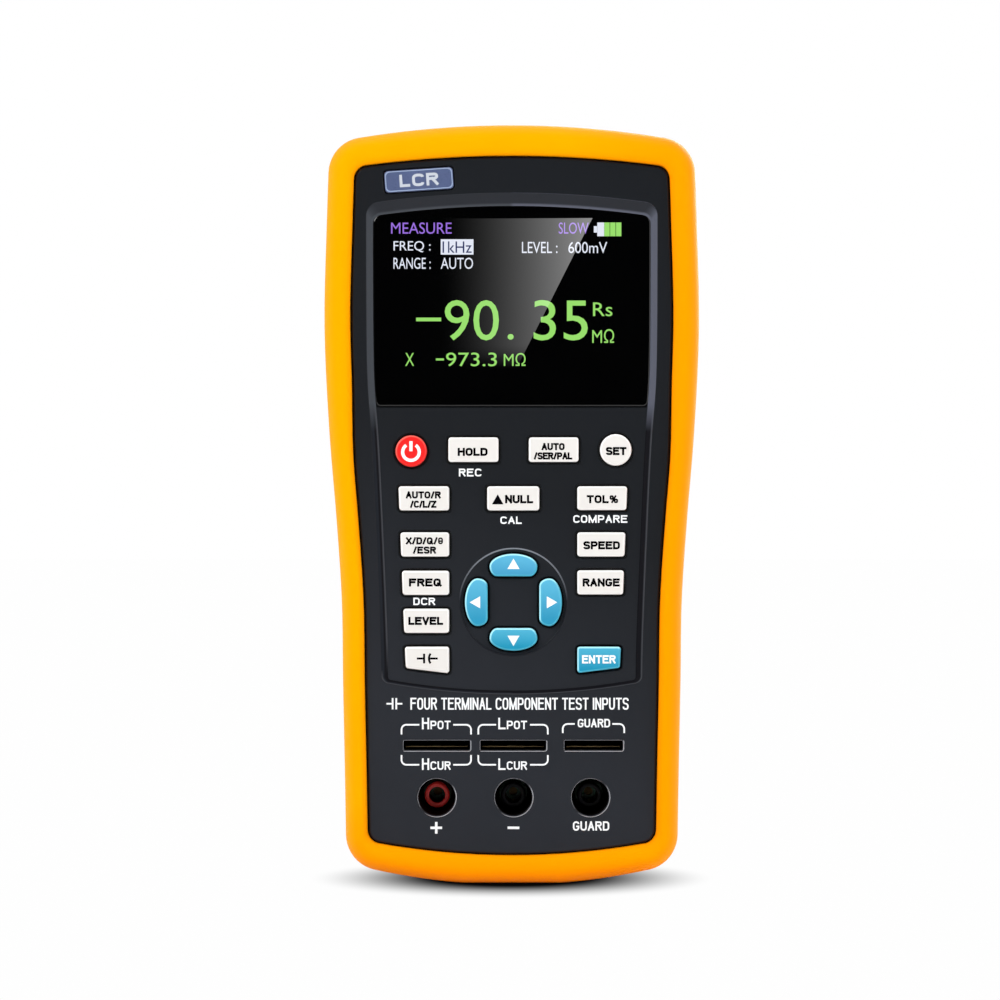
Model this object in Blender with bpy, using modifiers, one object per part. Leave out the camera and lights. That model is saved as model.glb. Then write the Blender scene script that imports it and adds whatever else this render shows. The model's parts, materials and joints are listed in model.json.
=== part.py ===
"""Handheld LCR meter, modelled as the separate pieces it is assembled from.

The meter stands upright. +Z runs from the jacks up to the display, the front
panel faces -Y and +X is to the reader's right. The origin is under the middle
of the foot. Sizes are in millimetres and become metres where meshes are made.
"""

import math

import bmesh
import bpy
from mathutils import Matrix, Vector

MM = 0.001
GAP = 0.3

# Body outline: half widths up the height, bowed top and bowed base with a flat foot
HEIGHT = 188.0
HALF_DEPTH = 20.5
BODY_SIDE = ((0, 41.0), (25, 41.4), (50, 41.9), (70, 42.2), (90, 43.5), (112, 45.3), (138, 46.5),
             (165, 45.9), (188, 45.1))
TOP_BOW = 0.00215
BASE_BOW = 0.0032
BASE_FLAT = 0.45
FOOT_HALF = math.sqrt(BASE_FLAT / BASE_BOW)
CORNER_RADIUS = 9.0
LEAST_RADIUS = 1.2

# Panel opening in the holster
RIM_LOW = 5.5
RIM_HIGH = 6.5
RIM_RISE = (100.0, 130.0)
OPENING_TOP = 180.2
OPENING_TOP_BOW = 0.0018
OPENING_BASE = 7.1
OPENING_BASE_BOW = 0.0027
OPENING_RADIUS = 3.5

# Depth of each layer, from the front of the holster to its back
HOLSTER_WALL = 2.5
LIP_FRONT = -18.7
LIP_INNER = -16.2
REAR_LIP_INNER = 17.3
REAR_RIM = 8.0
FACE_Y = -18.3
FLOOR_Y = -17.4
PANEL_BACK_Y = -15.9
SHELL_WALL = 2.0
SHOULDER_Y = -13.9
SPLIT_Y = 0.15
REAR_SHOULDER_Y = 17.0
REAR_INSIDE_Y = 14.0
REAR_FACE_Y = 19.9

# Sunken bay that holds the display window and the keys
BAY_SIDE = ((46, 32.2), (60, 32.4), (90, 33.6), (110, 34.6), (125, 35.7), (150, 36.0), (172, 36.0))
BAY_TOP = 171.0
BAY_TOP_BOW = 0.0021
BAY_BASE = 46.9
BAY_BASE_BOW = 0.0029
BAY_SLOPE_SIDE = 1.4
BAY_SLOPE_TOP = 2.8
BAY_SLOPE_BASE = 0.8
BAY_RADIUS = 3.4

# Display
WINDOW_BASE = 117.9
WINDOW_FRONT_Y = -17.6
WINDOW_BACK_Y = -16.9
SCREEN_CENTRE = (-1.2, 143.1)
SCREEN_SIZE = (57.6, 43.2)

# Keys
KEY_PROUD = 1.4
KEY_TRAVEL = 1.0
KEY_FLANGE = 0.6
KEY_FLANGE_THICK = 1.0
KEY_CORNER = 0.7
KEY_CENTRE_X = 0.25
KEY_OUTER = 26.65
KEY_TAPER = 0.039
KEY_TAPER_Z = 56.0
KEY_BASE = 51.4
KEY_INNER_LEFT = -15.5
KEY_INNER_RIGHT = 16.2
ROUND_KEY_RADIUS = 3.9
PAD_CENTRE = (0.4, 69.7)
PAD_REACH = 8.9
PAD_DISH_RADIUS = 13.4
PAD_DISH_DEPTH = 0.4
PAD_HALF_WIDTH = 5.9
PAD_DOME = 3.1
PAD_INNER = 2.5
PAD_CORNER = 1.9

# Terminals
JACK_X = (-18.6, 0.4, 19.4)
JACK_Z = 21.45
JACK_HOLE = 4.6
POST_RADIUS = 3.3
POST_BORE = 2.1
POST_FRONT_Y = -9.5
CONTACT_RADIUS = 2.45
CONTACT_BORE = 2.0
SLOT_Z = 34.3
SLOT_HEIGHT = 2.4
SLOT_CAVITY = 4.8
LEAF_THICK = 0.4
BLOCK_BACK_Y = 2.0
TERMINAL_BOARD_Y = 4.9
BOARD_THICK = 1.6

# Back of the meter
STAND_HALF = 24.7
STAND_FOOT_Z = 31.0
STAND_PIVOT = (17.9, 124.5)
STAND_BARREL = 2.0
STAND_INNER_Y = 17.7
STAND_RECESS_Y = 17.3
PIN_RADIUS = 0.9
COVER_Y = (15.7, 17.3)
COVER_HALF = 23.2
COVER_Z = (43.8, 110.2)
BAY_HALF = 20.0
BATTERY_BAY_Z = (47.0, 100.0)
BATTERY_BAY_Y = 1.0
CASE_SCREWS = ((-31.5, 173.0), (31.5, 173.0), (-30.0, 42.0), (30.0, 42.0))
COVER_SCREWS = ((-14.0, 105.4), (14.0, 105.4))
SCREW_SHANK = 1.0
SCREW_HEAD = 2.7
SCREW_HOLE = 1.3
BOSS_RADIUS = 3.0

# Main circuit board
BOARD_Y = -11.2
BOARD_BASE = 46.0

for leftover in list(bpy.data.objects):
    bpy.data.objects.remove(leftover, do_unlink=True)

parts = bpy.data.collections.new("lcr_meter")
cutters = bpy.data.collections.new("cutters")
for group in (parts, cutters):
    bpy.context.scene.collection.children.link(group)

meter = bpy.data.objects.new("meter_origin", None)
parts.objects.link(meter)


# ---------------------------------------------------------------- materials

def material(name, colour, roughness, metallic=0.0):
    """Principled material with one colour."""
    made = bpy.data.materials.new(name)
    made.use_nodes = True
    shader = made.node_tree.nodes["Principled BSDF"]
    shader.inputs["Base Color"].default_value = (*colour, 1.0)
    shader.inputs["Roughness"].default_value = roughness
    shader.inputs["Metallic"].default_value = metallic
    made.diffuse_color = (*colour, 1.0)
    return made


HOLSTER_YELLOW = material("holster_yellow", (1.0, 0.42, 0.0), 0.55)
CASE_GREY = material("case_grey", (0.021, 0.024, 0.029), 0.5)
WINDOW_BLACK = material("window_black", (0.004, 0.004, 0.006), 0.08)
KEY_WHITE = material("key_white", (0.86, 0.82, 0.79), 0.45)
KEY_BLUE = material("key_blue", (0.07, 0.37, 0.6), 0.45)
KEY_RED = material("key_red", (0.95, 0.03, 0.02), 0.45)
JACK_RED = material("jack_red", (0.4, 0.03, 0.03), 0.5)
BLACK = material("black_plastic", (0.01, 0.01, 0.011), 0.5)
BRASS = material("brass", (0.72, 0.5, 0.2), 0.3, 1.0)
STEEL = material("steel", (0.55, 0.55, 0.56), 0.35, 1.0)
BADGE_BLUE = material("badge_blue", (0.14, 0.18, 0.29), 0.4)
BOARD_GREEN = material("board_green", (0.02, 0.16, 0.06), 0.5)
MAT_GREY = material("mat_grey", (0.3, 0.31, 0.32), 0.7)
DIFFUSER_WHITE = material("diffuser_white", (0.85, 0.85, 0.83), 0.6)
BATTERY_BLUE = material("battery_blue", (0.03, 0.1, 0.4), 0.4)


# ---------------------------------------------------------------- outlines

def spread(start, end, steps):
    """Evenly spaced values from start up to, but not including, end."""
    return [start + (end - start) * i / steps for i in range(steps)]


def smooth(stations, at):
    """Value at a height, on a smooth curve through (height, value) stations."""
    last = len(stations) - 2
    i = next((n for n in range(last) if at < stations[n + 1][0]), last)
    (z0, v0), (z1, v1) = stations[i], stations[i + 1]
    t = min(max((at - z0) / (z1 - z0), 0.0), 1.0)

    def rise(n):
        low = stations[max(n - 1, 0)]
        high = stations[min(n + 1, len(stations) - 1)]
        return (high[1] - low[1]) / (high[0] - low[0]) * (z1 - z0)

    ease = t * t * (3 - 2 * t)
    return (v0 * (1 - ease) + v1 * ease + rise(i) * t * (1 - t) ** 2
            - rise(i + 1) * t * t * (1 - t))


def round_corner(corner, ways, radius, steps):
    """Arc that joins the two curves leaving a corner. Each way gives a point at a distance."""
    reach = radius
    for _ in range(4):
        arms = [(Vector(way(reach)) - corner).normalized() for way in ways]
        half = arms[0].angle(arms[1]) / 2
        reach = radius / math.tan(half)
    centre = corner + (arms[0] + arms[1]).normalized() * radius / math.sin(half)
    spokes = [corner + arm * reach - centre for arm in arms]
    start, end = [math.atan2(spoke.y, spoke.x) for spoke in spokes]
    sweep = (end - start + math.pi) % (2 * math.pi) - math.pi
    angles = [start + sweep * i / steps for i in range(steps + 1)]
    return [(centre.x + radius * math.cos(a), centre.y + radius * math.sin(a)) for a in angles]


def outline(side, top, base, top_radius, base_radius, side_steps=10):
    """Closed loop symmetric about x = 0, from curves for its side, top and base."""

    def corner_of(edge):
        z = edge(0)
        for _ in range(6):
            z = edge(side(z))
        return Vector((side(z), z))

    low, high = corner_of(base), corner_of(top)
    low_arc = round_corner(low, (lambda d: (low.x - d, base(low.x - d)),
                                 lambda d: (side(low.y + d), low.y + d)), base_radius, 4)
    high_arc = round_corner(high, (lambda d: (side(high.y - d), high.y - d),
                                   lambda d: (high.x - d, top(high.x - d))), top_radius, 4)
    base_x = [0.0] + spread(FOOT_HALF, low_arc[0][0], 3)
    side_z = spread(low_arc[-1][1], high_arc[0][1], side_steps)[1:]
    top_x = spread(high_arc[-1][0], 0, 4)[1:] + [0.0]
    right = [(x, base(x)) for x in base_x] + low_arc + [(side(z), z) for z in side_z]
    right += high_arc + [(x, top(x)) for x in top_x]
    return right + [(-x, z) for x, z in reversed(right[1:-1])]


def body_loop(inset):
    """Outline of the whole meter, moved inwards."""
    radius = max(CORNER_RADIUS - inset, LEAST_RADIUS)
    return outline(lambda z: smooth(BODY_SIDE, z) - inset,
                   lambda x: HEIGHT - inset - TOP_BOW * x * x,
                   lambda x: inset + max(0.0, BASE_BOW * x * x - BASE_FLAT),
                   radius, radius)


def opening_loop(inset):
    """Outline of the panel opening in the holster, moved inwards."""

    def side(z):
        t = min(max((z - RIM_RISE[0]) / (RIM_RISE[1] - RIM_RISE[0]), 0.0), 1.0)
        rim = RIM_LOW + (RIM_HIGH - RIM_LOW) * t * t * (3 - 2 * t)
        return smooth(BODY_SIDE, z) - rim - inset

    return outline(side,
                   lambda x: OPENING_TOP - inset - OPENING_TOP_BOW * x * x,
                   lambda x: OPENING_BASE + inset + OPENING_BASE_BOW * x * x,
                   max(OPENING_RADIUS - inset, LEAST_RADIUS),
                   max(OPENING_RADIUS - inset, LEAST_RADIUS))


def bay_loop(slope):
    """Outline of the sunken bay: slope 0 at the panel's face, 1 at the bay's floor."""
    return outline(lambda z: smooth(BAY_SIDE, z) - BAY_SLOPE_SIDE * slope,
                   lambda x: BAY_TOP - BAY_SLOPE_TOP * slope - BAY_TOP_BOW * x * x,
                   lambda x: BAY_BASE + BAY_SLOPE_BASE * slope + BAY_BASE_BOW * x * x,
                   BAY_RADIUS - slope, 2.0 - slope)


def window_loop(inset):
    """Outline of the display window, which fills the upper end of the bay's floor."""
    return outline(lambda z: smooth(BAY_SIDE, z) - BAY_SLOPE_SIDE - inset,
                   lambda x: BAY_TOP - BAY_SLOPE_TOP - inset - BAY_TOP_BOW * x * x,
                   lambda x: WINDOW_BASE + inset,
                   BAY_RADIUS - 1.0, LEAST_RADIUS, side_steps=4)


def rounded(corners, radius, steps=2):
    """Polygon with every corner rounded, or left sharp where the radius is 0."""
    if not radius:
        return list(corners)
    loop = []
    points = [Vector(corner) for corner in corners]
    for i, corner in enumerate(points):
        before = (points[i - 1] - corner).normalized()
        after = (points[(i + 1) % len(points)] - corner).normalized()
        loop += round_corner(corner, (lambda d: corner + before * d, lambda d: corner + after * d),
                             radius, steps)
    return loop


def rectangle(x, z, width, height, radius, tilt=0.0):
    """Rounded rectangle about a centre."""
    turn = Matrix.Rotation(tilt, 2)
    corners = [turn @ Vector((sx * width / 2, sz * height / 2))
               for sx, sz in ((-1, -1), (1, -1), (1, 1), (-1, 1))]
    return rounded([(x + corner.x, z + corner.y) for corner in corners], radius)


def circle(x, z, radius, steps=16):
    """Round loop about a centre."""
    return [(x + radius * math.cos(a), z + radius * math.sin(a))
            for a in spread(0, 2 * math.pi, steps)]


def grow(loop, distance):
    """Loop moved outwards (or inwards, if negative), for a loop that runs anticlockwise."""
    moved = []
    for i, point in enumerate(loop):
        before = Vector(point) - Vector(loop[i - 1])
        after = Vector(loop[(i + 1) % len(loop)]) - Vector(point)
        out = Vector((before.y, -before.x)).normalized() + Vector((after.y, -after.x)).normalized()
        out *= 2 * distance / out.length_squared
        moved.append((point[0] + out.x, point[1] + out.y))
    return moved


# ---------------------------------------------------------------- mesh helpers

def add(name, bm, look, origin=(0, 0, 0), tool=False):
    """Object from a bmesh in millimetres, with its origin moved to a chosen point."""
    bmesh.ops.recalc_face_normals(bm, faces=bm.faces)
    bmesh.ops.transform(bm, verts=bm.verts,
                        matrix=Matrix.Scale(MM, 4) @ Matrix.Translation(-Vector(origin)))
    mesh = bpy.data.meshes.new(name)
    bm.to_mesh(mesh)
    bm.free()
    return place(name, mesh, look, origin, tool)


def place(name, mesh, look, origin=(0, 0, 0), tool=False):
    """Object for a mesh, in the meter's collection or in the cutters' one."""
    made = bpy.data.objects.new(name, mesh)
    made.location = Vector(origin) * MM
    if tool:
        cutters.objects.link(made)
        made.hide_render = True
        made.display_type = "WIRE"
        return made
    parts.objects.link(made)
    made.parent = meter
    mesh.materials.append(look)
    return made


def level(loop, y):
    """Flat loop put at a depth."""
    return [(x, y, z) for x, z in loop]


def stack(loop, steps):
    """Copies of a loop at (depth, growth) steps."""
    return [level(grow(loop, growth), y) for y, growth in steps]


def fill_loft(bm, sections, ring=False):
    """Skin through loops with equal point counts: capped, or closed round on itself."""
    rows = [[bm.verts.new(point) for point in section] for section in sections]
    pairs = list(zip(rows, rows[1:]))
    if ring:
        pairs.append((rows[-1], rows[0]))
    for row, following in pairs:
        for i in range(len(row)):
            bm.faces.new((row[i - 1], row[i], following[i], following[i - 1]))
    if not ring:
        bm.faces.new(rows[0])
        bm.faces.new(rows[-1])


def loft(name, sections, look, origin=(0, 0, 0), ring=False):
    """One solid through a list of loops."""
    bm = bmesh.new()
    fill_loft(bm, sections, ring)
    return add(name, bm, look, origin)


def tool(name, lofts):
    """Cutter or joiner made of separate solids, each one a list of loops."""
    bm = bmesh.new()
    for sections in lofts:
        fill_loft(bm, sections)
    return add(name, bm, None, tool=True)


def boolean(target, other, operation="DIFFERENCE"):
    """Exact Boolean modifier."""
    cut = target.modifiers.new(other.name, "BOOLEAN")
    cut.operation = operation
    cut.object = other
    cut.solver = "EXACT"


def box(x, y, z):
    """Solid block between pairs of limits, as loops for a loft or a tool."""
    loop = [(x[0], z[0]), (x[1], z[0]), (x[1], z[1]), (x[0], z[1])]
    return [level(loop, y[0]), level(loop, y[1])]


def block(name, x, y, z, look, bevel=0.0):
    """Box-shaped piece with bevelled edges."""
    bm = bmesh.new()
    bmesh.ops.create_cube(bm, size=1.0)
    size = Matrix.Diagonal((x[1] - x[0], y[1] - y[0], z[1] - z[0], 1.0))
    middle = Vector((sum(x) / 2, sum(y) / 2, sum(z) / 2))
    bmesh.ops.transform(bm, matrix=Matrix.Translation(middle) @ size, verts=bm.verts)
    made = add(name, bm, look, middle)
    if bevel:
        edge = made.modifiers.new("edges", "BEVEL")
        edge.width = bevel * MM
        edge.segments = 2
        edge.limit_method = "ANGLE"
    return made


def plate(name, loops, y, look):
    """Flat piece cut to an outline, with any further loops as holes in it."""
    curve = bpy.data.curves.new(name, "CURVE")
    curve.dimensions = "2D"
    curve.fill_mode = "BOTH"
    curve.extrude = (y[1] - y[0]) / 2 * MM
    for loop in loops:
        spline = curve.splines.new("POLY")
        spline.points.add(len(loop) - 1)
        spline.use_cyclic_u = True
        for point, (across, up) in zip(spline.points, loop):
            point.co = (across * MM, up * MM, 0.0, 1.0)
    flat = bpy.data.objects.new(name + "_flat", curve)
    flat.matrix_world = Matrix.Translation((0, sum(y) / 2 * MM, 0)) @ Matrix.Rotation(math.pi / 2, 4, "X")
    parts.objects.link(flat)
    bpy.context.view_layer.update()
    seen = flat.evaluated_get(bpy.context.evaluated_depsgraph_get())
    mesh = bpy.data.meshes.new_from_object(seen)
    bm = bmesh.new()
    bm.from_mesh(mesh)
    bmesh.ops.remove_doubles(bm, verts=bm.verts, dist=1e-6)
    bm.to_mesh(mesh)
    bm.free()
    mesh.materials.clear()
    made = place(name, mesh, look)
    made.matrix_world = flat.matrix_world.copy()
    bpy.data.objects.remove(flat, do_unlink=True)
    return made


def turned(name, profile, x, z, look, steps=14, ring=False):
    """Turned piece on an axis along Y. The profile is (radius, y), front to back outside."""
    mesh = bpy.data.meshes.new(name)
    count = len(profile)
    edges = [(i, i + 1) for i in range(count - 1)] + ([(count - 1, 0)] if ring else [])
    mesh.from_pydata([(radius * MM, 0.0, -y * MM) for radius, y in profile], edges, [])
    made = place(name, mesh, look, (x, 0, z))
    made.rotation_euler = (math.pi / 2, 0, 0)
    lathe = made.modifiers.new("lathe", "SCREW")
    lathe.steps = steps
    lathe.render_steps = steps
    lathe.use_merge_vertices = True
    lathe.merge_threshold = 1e-6
    mesh.shade_smooth()
    return made


# ---------------------------------------------------------------- key shapes

def key_edge(side, z):
    """Outer edge of the keys in the two side columns, which lean in towards the base."""
    return KEY_CENTRE_X + side * (KEY_OUTER + KEY_TAPER * (z - KEY_TAPER_Z))


def side_key(side, low, high):
    """Key in a side column. One without a low edge ends on the bowed base of the keypad."""
    inner = KEY_INNER_LEFT if side < 0 else KEY_INNER_RIGHT

    def base(x):
        return low if low else KEY_BASE + BAY_BASE_BOW * x * x

    foot = key_edge(side, low or KEY_BASE)
    corners = [(inner, base(inner)), (foot, base(foot)), (key_edge(side, high), high), (inner, high)]
    if side < 0:
        corners.reverse()
    return rounded(corners, KEY_CORNER)


def middle_key(left, right, low, high):
    """Upright rectangular key."""
    return rectangle((left + right) / 2, (low + high) / 2, right - left, high - low, KEY_CORNER)


def pad_key(turn):
    """Direction key: domed outside, flat inside with soft corners, turned about the pad."""
    dome = [(PAD_HALF_WIDTH * math.cos(a), PAD_DOME * math.sin(a)) for a in spread(0, math.pi, 8)]
    flat = PAD_HALF_WIDTH - PAD_CORNER
    left = [(-flat - PAD_CORNER * math.cos(a), -PAD_INNER * math.sin(a))
            for a in spread(0, math.pi / 2, 3)] + [(-flat, -PAD_INNER)]
    right = [(-x, z) for x, z in reversed(left[1:])]
    spin = Matrix.Rotation(turn, 2)
    loop = [spin @ Vector((x, z + PAD_REACH)) for x, z in dome + left + right]
    return [(PAD_CENTRE[0] + point.x, PAD_CENTRE[1] + point.y) for point in loop]


KEYS = {
    "key_power": (circle(-24.9, 107.1, ROUND_KEY_RADIUS), KEY_RED),
    "key_hold": (middle_key(-15.7, -3.3, 104.4, 110.5), KEY_WHITE),
    "key_circuit": (middle_key(4.2, 16.5, 104.4, 110.5), KEY_WHITE),
    "key_set": (circle(25.7, 107.4, ROUND_KEY_RADIUS), KEY_WHITE),
    "key_function": (side_key(-1, 92.4, 98.4), KEY_WHITE),
    "key_null": (middle_key(-6.1, 6.8, 92.4, 98.4), KEY_WHITE),
    "key_tolerance": (side_key(1, 92.5, 98.4), KEY_WHITE),
    "key_parameter": (side_key(-1, 81.0, 87.0), KEY_WHITE),
    "key_speed": (side_key(1, 81.0, 87.0), KEY_WHITE),
    "key_frequency": (side_key(-1, 71.5, 77.5), KEY_WHITE),
    "key_range": (side_key(1, 71.6, 77.6), KEY_WHITE),
    "key_level": (side_key(-1, 62.1, 68.1), KEY_WHITE),
    "key_sorting": (side_key(-1, None, 58.7), KEY_WHITE),
    "key_enter": (side_key(1, None, 58.7), KEY_BLUE),
    "key_up": (pad_key(0.0), KEY_BLUE),
    "key_left": (pad_key(math.pi / 2), KEY_BLUE),
    "key_down": (pad_key(math.pi), KEY_BLUE),
    "key_right": (pad_key(-math.pi / 2), KEY_BLUE),
}


# ---------------------------------------------------------------- pieces

def holster():
    """Soft surround: a rounded channel that runs round the case, open at front and back."""
    sections = [
        level(opening_loop(0.0), LIP_FRONT),
        level(opening_loop(-0.9), LIP_FRONT - 1.2),
        level(opening_loop(-2.2), -HALF_DEPTH + 0.1),
        level(body_loop(3.6), -HALF_DEPTH),
        level(body_loop(1.9), -HALF_DEPTH + 0.7),
        level(body_loop(0.7), -HALF_DEPTH + 2.2),
        level(body_loop(0.0), -HALF_DEPTH + 5.0),
        level(body_loop(0.0), HALF_DEPTH - 5.0),
        level(body_loop(0.8), HALF_DEPTH - 2.0),
        level(body_loop(2.8), HALF_DEPTH - 0.2),
        level(body_loop(4.0), HALF_DEPTH),
        level(body_loop(REAR_RIM - 1.0), HALF_DEPTH),
        level(body_loop(REAR_RIM), HALF_DEPTH - 1.0),
        level(body_loop(REAR_RIM), REAR_LIP_INNER),
        level(body_loop(HOLSTER_WALL), REAR_LIP_INNER),
        level(body_loop(HOLSTER_WALL), LIP_INNER),
        level(opening_loop(0.0), LIP_INNER),
    ]
    loft("holster", sections, HOLSTER_YELLOW, ring=True)


def slot_spans():
    """Left and right ends of the three component slots."""
    return {"high": (-26.8, -10.4), "low": (-7.8, 8.4), "guard": (13.0, 27.4)}


def panel_holes():
    """Cutter for every hole through the front panel."""
    through = (FLOOR_Y - 3.0, PANEL_BACK_Y + 1.0)
    holes = [stack(loop, ((through[0], GAP), (through[1], GAP))) for loop, _ in KEYS.values()]
    chamfer = 0.45
    rims = ((FACE_Y - 1.0, chamfer), (FACE_Y, chamfer), (FACE_Y + chamfer, 0.0), (through[1], 0.0))
    for left, right in slot_spans().values():
        slot = rectangle((left + right) / 2, SLOT_Z, right - left, SLOT_HEIGHT, 0.0)
        holes.append(stack(slot, rims))
    for x in JACK_X:
        holes.append(stack(circle(x, JACK_Z, JACK_HOLE, 20), rims))
    width, height = SCREEN_SIZE
    aperture = rectangle(*SCREEN_CENTRE, width + 2.4, height + 2.4, 0.8)
    holes.append(stack(aperture, ((WINDOW_BACK_Y - 0.5, 0.0), (through[1], 0.0))))
    return tool("panel_holes", holes)


def badge_outline(growth):
    """Name plate outline, tilted to follow the bowed top edge."""
    return rectangle(-23.0, 174.2, 17.0 + 2 * growth, 5.4 + 2 * growth, 1.0, math.radians(3.8))


def front_case():
    """Front half of the case: panel, sunken bay, holes and screw bosses."""
    edge = opening_loop(GAP + 0.05)
    wall = HOLSTER_WALL + GAP
    sections = [
        level(opening_loop(GAP + 0.5), FACE_Y),
        level(edge, FACE_Y + 0.45),
        level(edge, PANEL_BACK_Y),
        level(body_loop(wall), PANEL_BACK_Y),
        level(body_loop(wall), -SPLIT_Y),
        level(body_loop(wall + SHELL_WALL), -SPLIT_Y),
        level(body_loop(wall + SHELL_WALL), SHOULDER_Y),
        level(opening_loop(SHELL_WALL), SHOULDER_Y),
        level(opening_loop(SHELL_WALL), PANEL_BACK_Y),
    ]
    case = loft("front_case", sections, CASE_GREY)
    bosses = [stack(circle(x, z, BOSS_RADIUS, 12), ((PANEL_BACK_Y - 0.5, 0.0), (-SPLIT_Y, 0.0)))
              for x, z in CASE_SCREWS]
    boolean(case, tool("front_bosses", bosses), "UNION")
    pilots = [stack(circle(x, z, SCREW_HOLE, 12), ((-13.5, 0.0), (1.0, 0.0))) for x, z in CASE_SCREWS]
    boolean(case, tool("front_pilots", pilots))
    bay = [level(bay_loop(0.0), FACE_Y - 1.0), level(bay_loop(0.0), FACE_Y), level(bay_loop(1.0), FLOOR_Y)]
    boolean(case, tool("bay_cutter", [bay]))
    pocket = [level(window_loop(0.0), FLOOR_Y - 0.5), level(window_loop(0.0), WINDOW_BACK_Y + GAP)]
    dish = stack(circle(*PAD_CENTRE, PAD_DISH_RADIUS, 32),
                 ((FLOOR_Y - 0.3, 0.3), (FLOOR_Y, 0.0), (FLOOR_Y + PAD_DISH_DEPTH, -1.2)))
    badge = [level(badge_outline(GAP), FACE_Y - 1.0), level(badge_outline(GAP), FACE_Y + 1.0)]
    boolean(case, tool("face_pockets", [pocket, dish, badge]))
    boolean(case, panel_holes())


def rear_case():
    """Rear half of the case: battery bay, stand recess, hinge sockets and screw bosses."""
    wall = HOLSTER_WALL + GAP
    rim = REAR_RIM + GAP
    sections = [
        level(body_loop(wall + SHELL_WALL), REAR_INSIDE_Y),
        level(body_loop(wall + SHELL_WALL), SPLIT_Y),
        level(body_loop(wall), SPLIT_Y),
        level(body_loop(wall), REAR_SHOULDER_Y),
        level(body_loop(rim), REAR_SHOULDER_Y),
        level(body_loop(rim), REAR_FACE_Y - 0.5),
        level(body_loop(rim + 0.6), REAR_FACE_Y),
    ]
    case = loft("rear_case", sections, CASE_GREY)
    into_wall = REAR_INSIDE_Y + 0.5
    bay_wall = 1.5
    joined = [box((-BAY_HALF - bay_wall, BAY_HALF + bay_wall), (BATTERY_BAY_Y - bay_wall, into_wall),
                  (BATTERY_BAY_Z[0] - bay_wall, BATTERY_BAY_Z[1] + bay_wall))]
    joined += [stack(circle(x, z, BOSS_RADIUS, 12), ((SPLIT_Y, 0.0), (into_wall, 0.0)))
               for x, z in CASE_SCREWS]
    joined += [stack(circle(x, z, 2.4, 12), ((7.0, 0.0), (into_wall, 0.0))) for x, z in COVER_SCREWS]
    boolean(case, tool("rear_joined", joined), "UNION")

    recess_z = (STAND_FOOT_Z - GAP, STAND_PIVOT[1] + STAND_BARREL + 1.0)
    recess = rectangle(0, sum(recess_z) / 2, 2 * (STAND_HALF + GAP), recess_z[1] - recess_z[0], 3.0)
    finger = rectangle(0, STAND_FOOT_Z, 22.0, 11.0, 4.0)
    boolean(case, tool("stand_recess", [stack(recess, ((STAND_RECESS_Y, 0.0), (REAR_FACE_Y + 1.0, 0.0)))]))
    boolean(case, tool("finger_scoop", [stack(finger, ((17.8, -1.5), (REAR_FACE_Y, 0.0),
                                                       (REAR_FACE_Y + 1.0, 0.0)))]))
    cover = rectangle(0, sum(COVER_Z) / 2, 2 * (COVER_HALF + GAP), COVER_Z[1] - COVER_Z[0] + 2 * GAP, 2.0)
    boolean(case, tool("cover_recess", [stack(cover, ((COVER_Y[0] - GAP, 0.0), (STAND_RECESS_Y + 0.5, 0.0)))]))
    holes = [box((-BAY_HALF, BAY_HALF), (BATTERY_BAY_Y, COVER_Y[1]), BATTERY_BAY_Z)]
    holes += [stack(circle(x, z, SCREW_HOLE, 12), ((-1.0, 0.0), (REAR_FACE_Y, 0.0))) for x, z in CASE_SCREWS]
    boolean(case, tool("bay_and_screw_holes", holes))
    heads = [stack(circle(x, z, SCREW_HEAD + GAP, 16), ((17.3, 0.0), (REAR_FACE_Y + 1.0, 0.0)))
             for x, z in CASE_SCREWS]
    heads += [stack(circle(x, z, 1.1, 12), ((8.5, 0.0), (COVER_Y[1], 0.0))) for x, z in COVER_SCREWS]
    heads.append(stack(circle(12.0, 94.0, 1.6, 12), ((-2.0, 0.0), (BATTERY_BAY_Y + 0.5, 0.0))))
    boolean(case, tool("head_and_lead_holes", heads))
    boolean(case, hinge_cutter("hinge_trough", STAND_BARREL + 0.4, STAND_HALF + GAP, 20))
    boolean(case, hinge_cutter("hinge_socket", PIN_RADIUS + GAP, STAND_HALF + 4.0, 12))


def hinge_cutter(name, radius, half_length, steps):
    """Round bar along the stand's hinge axis."""
    bm = bmesh.new()
    bmesh.ops.create_cone(bm, cap_ends=True, segments=steps, radius1=radius, radius2=radius,
                          depth=2 * half_length)
    turn = Matrix.Translation((0, *STAND_PIVOT)) @ Matrix.Rotation(math.pi / 2, 4, "Y")
    bmesh.ops.transform(bm, matrix=turn, verts=bm.verts)
    return add(name, bm, None, tool=True)


def display():
    """Window, liquid crystal panel, its frame and its backlight."""
    plate("display_window", [window_loop(GAP)], (WINDOW_FRONT_Y, WINDOW_BACK_Y), WINDOW_BLACK)
    x, z = SCREEN_CENTRE
    width, height = SCREEN_SIZE
    glass = rectangle(x, z, width + 3.2, height + 5.4, 0.6)
    frame = rectangle(x, z, width + 6.4, height + 8.6, 1.2)
    plate("lcd_panel", [glass], (PANEL_BACK_Y + GAP, -14.1), WINDOW_BLACK)
    plate("lcd_backlight", [glass], (-13.8, -11.8), DIFFUSER_WHITE)
    plate("lcd_frame", [frame, grow(glass, GAP)], (PANEL_BACK_Y + GAP, -11.8), STEEL)
    block("display_ribbon", (x - 9.0, x + 9.0), (-13.2, -12.9), (114.6, 116.9), BRASS)
    block("display_socket", (x - 10.0, x + 10.0), (-14.0, BOARD_Y - GAP), (112.6, 114.3), DIFFUSER_WHITE)
    plate("badge", [badge_outline(0.0)], (FACE_Y - 0.2, FACE_Y + 0.7), BADGE_BLUE)


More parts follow.
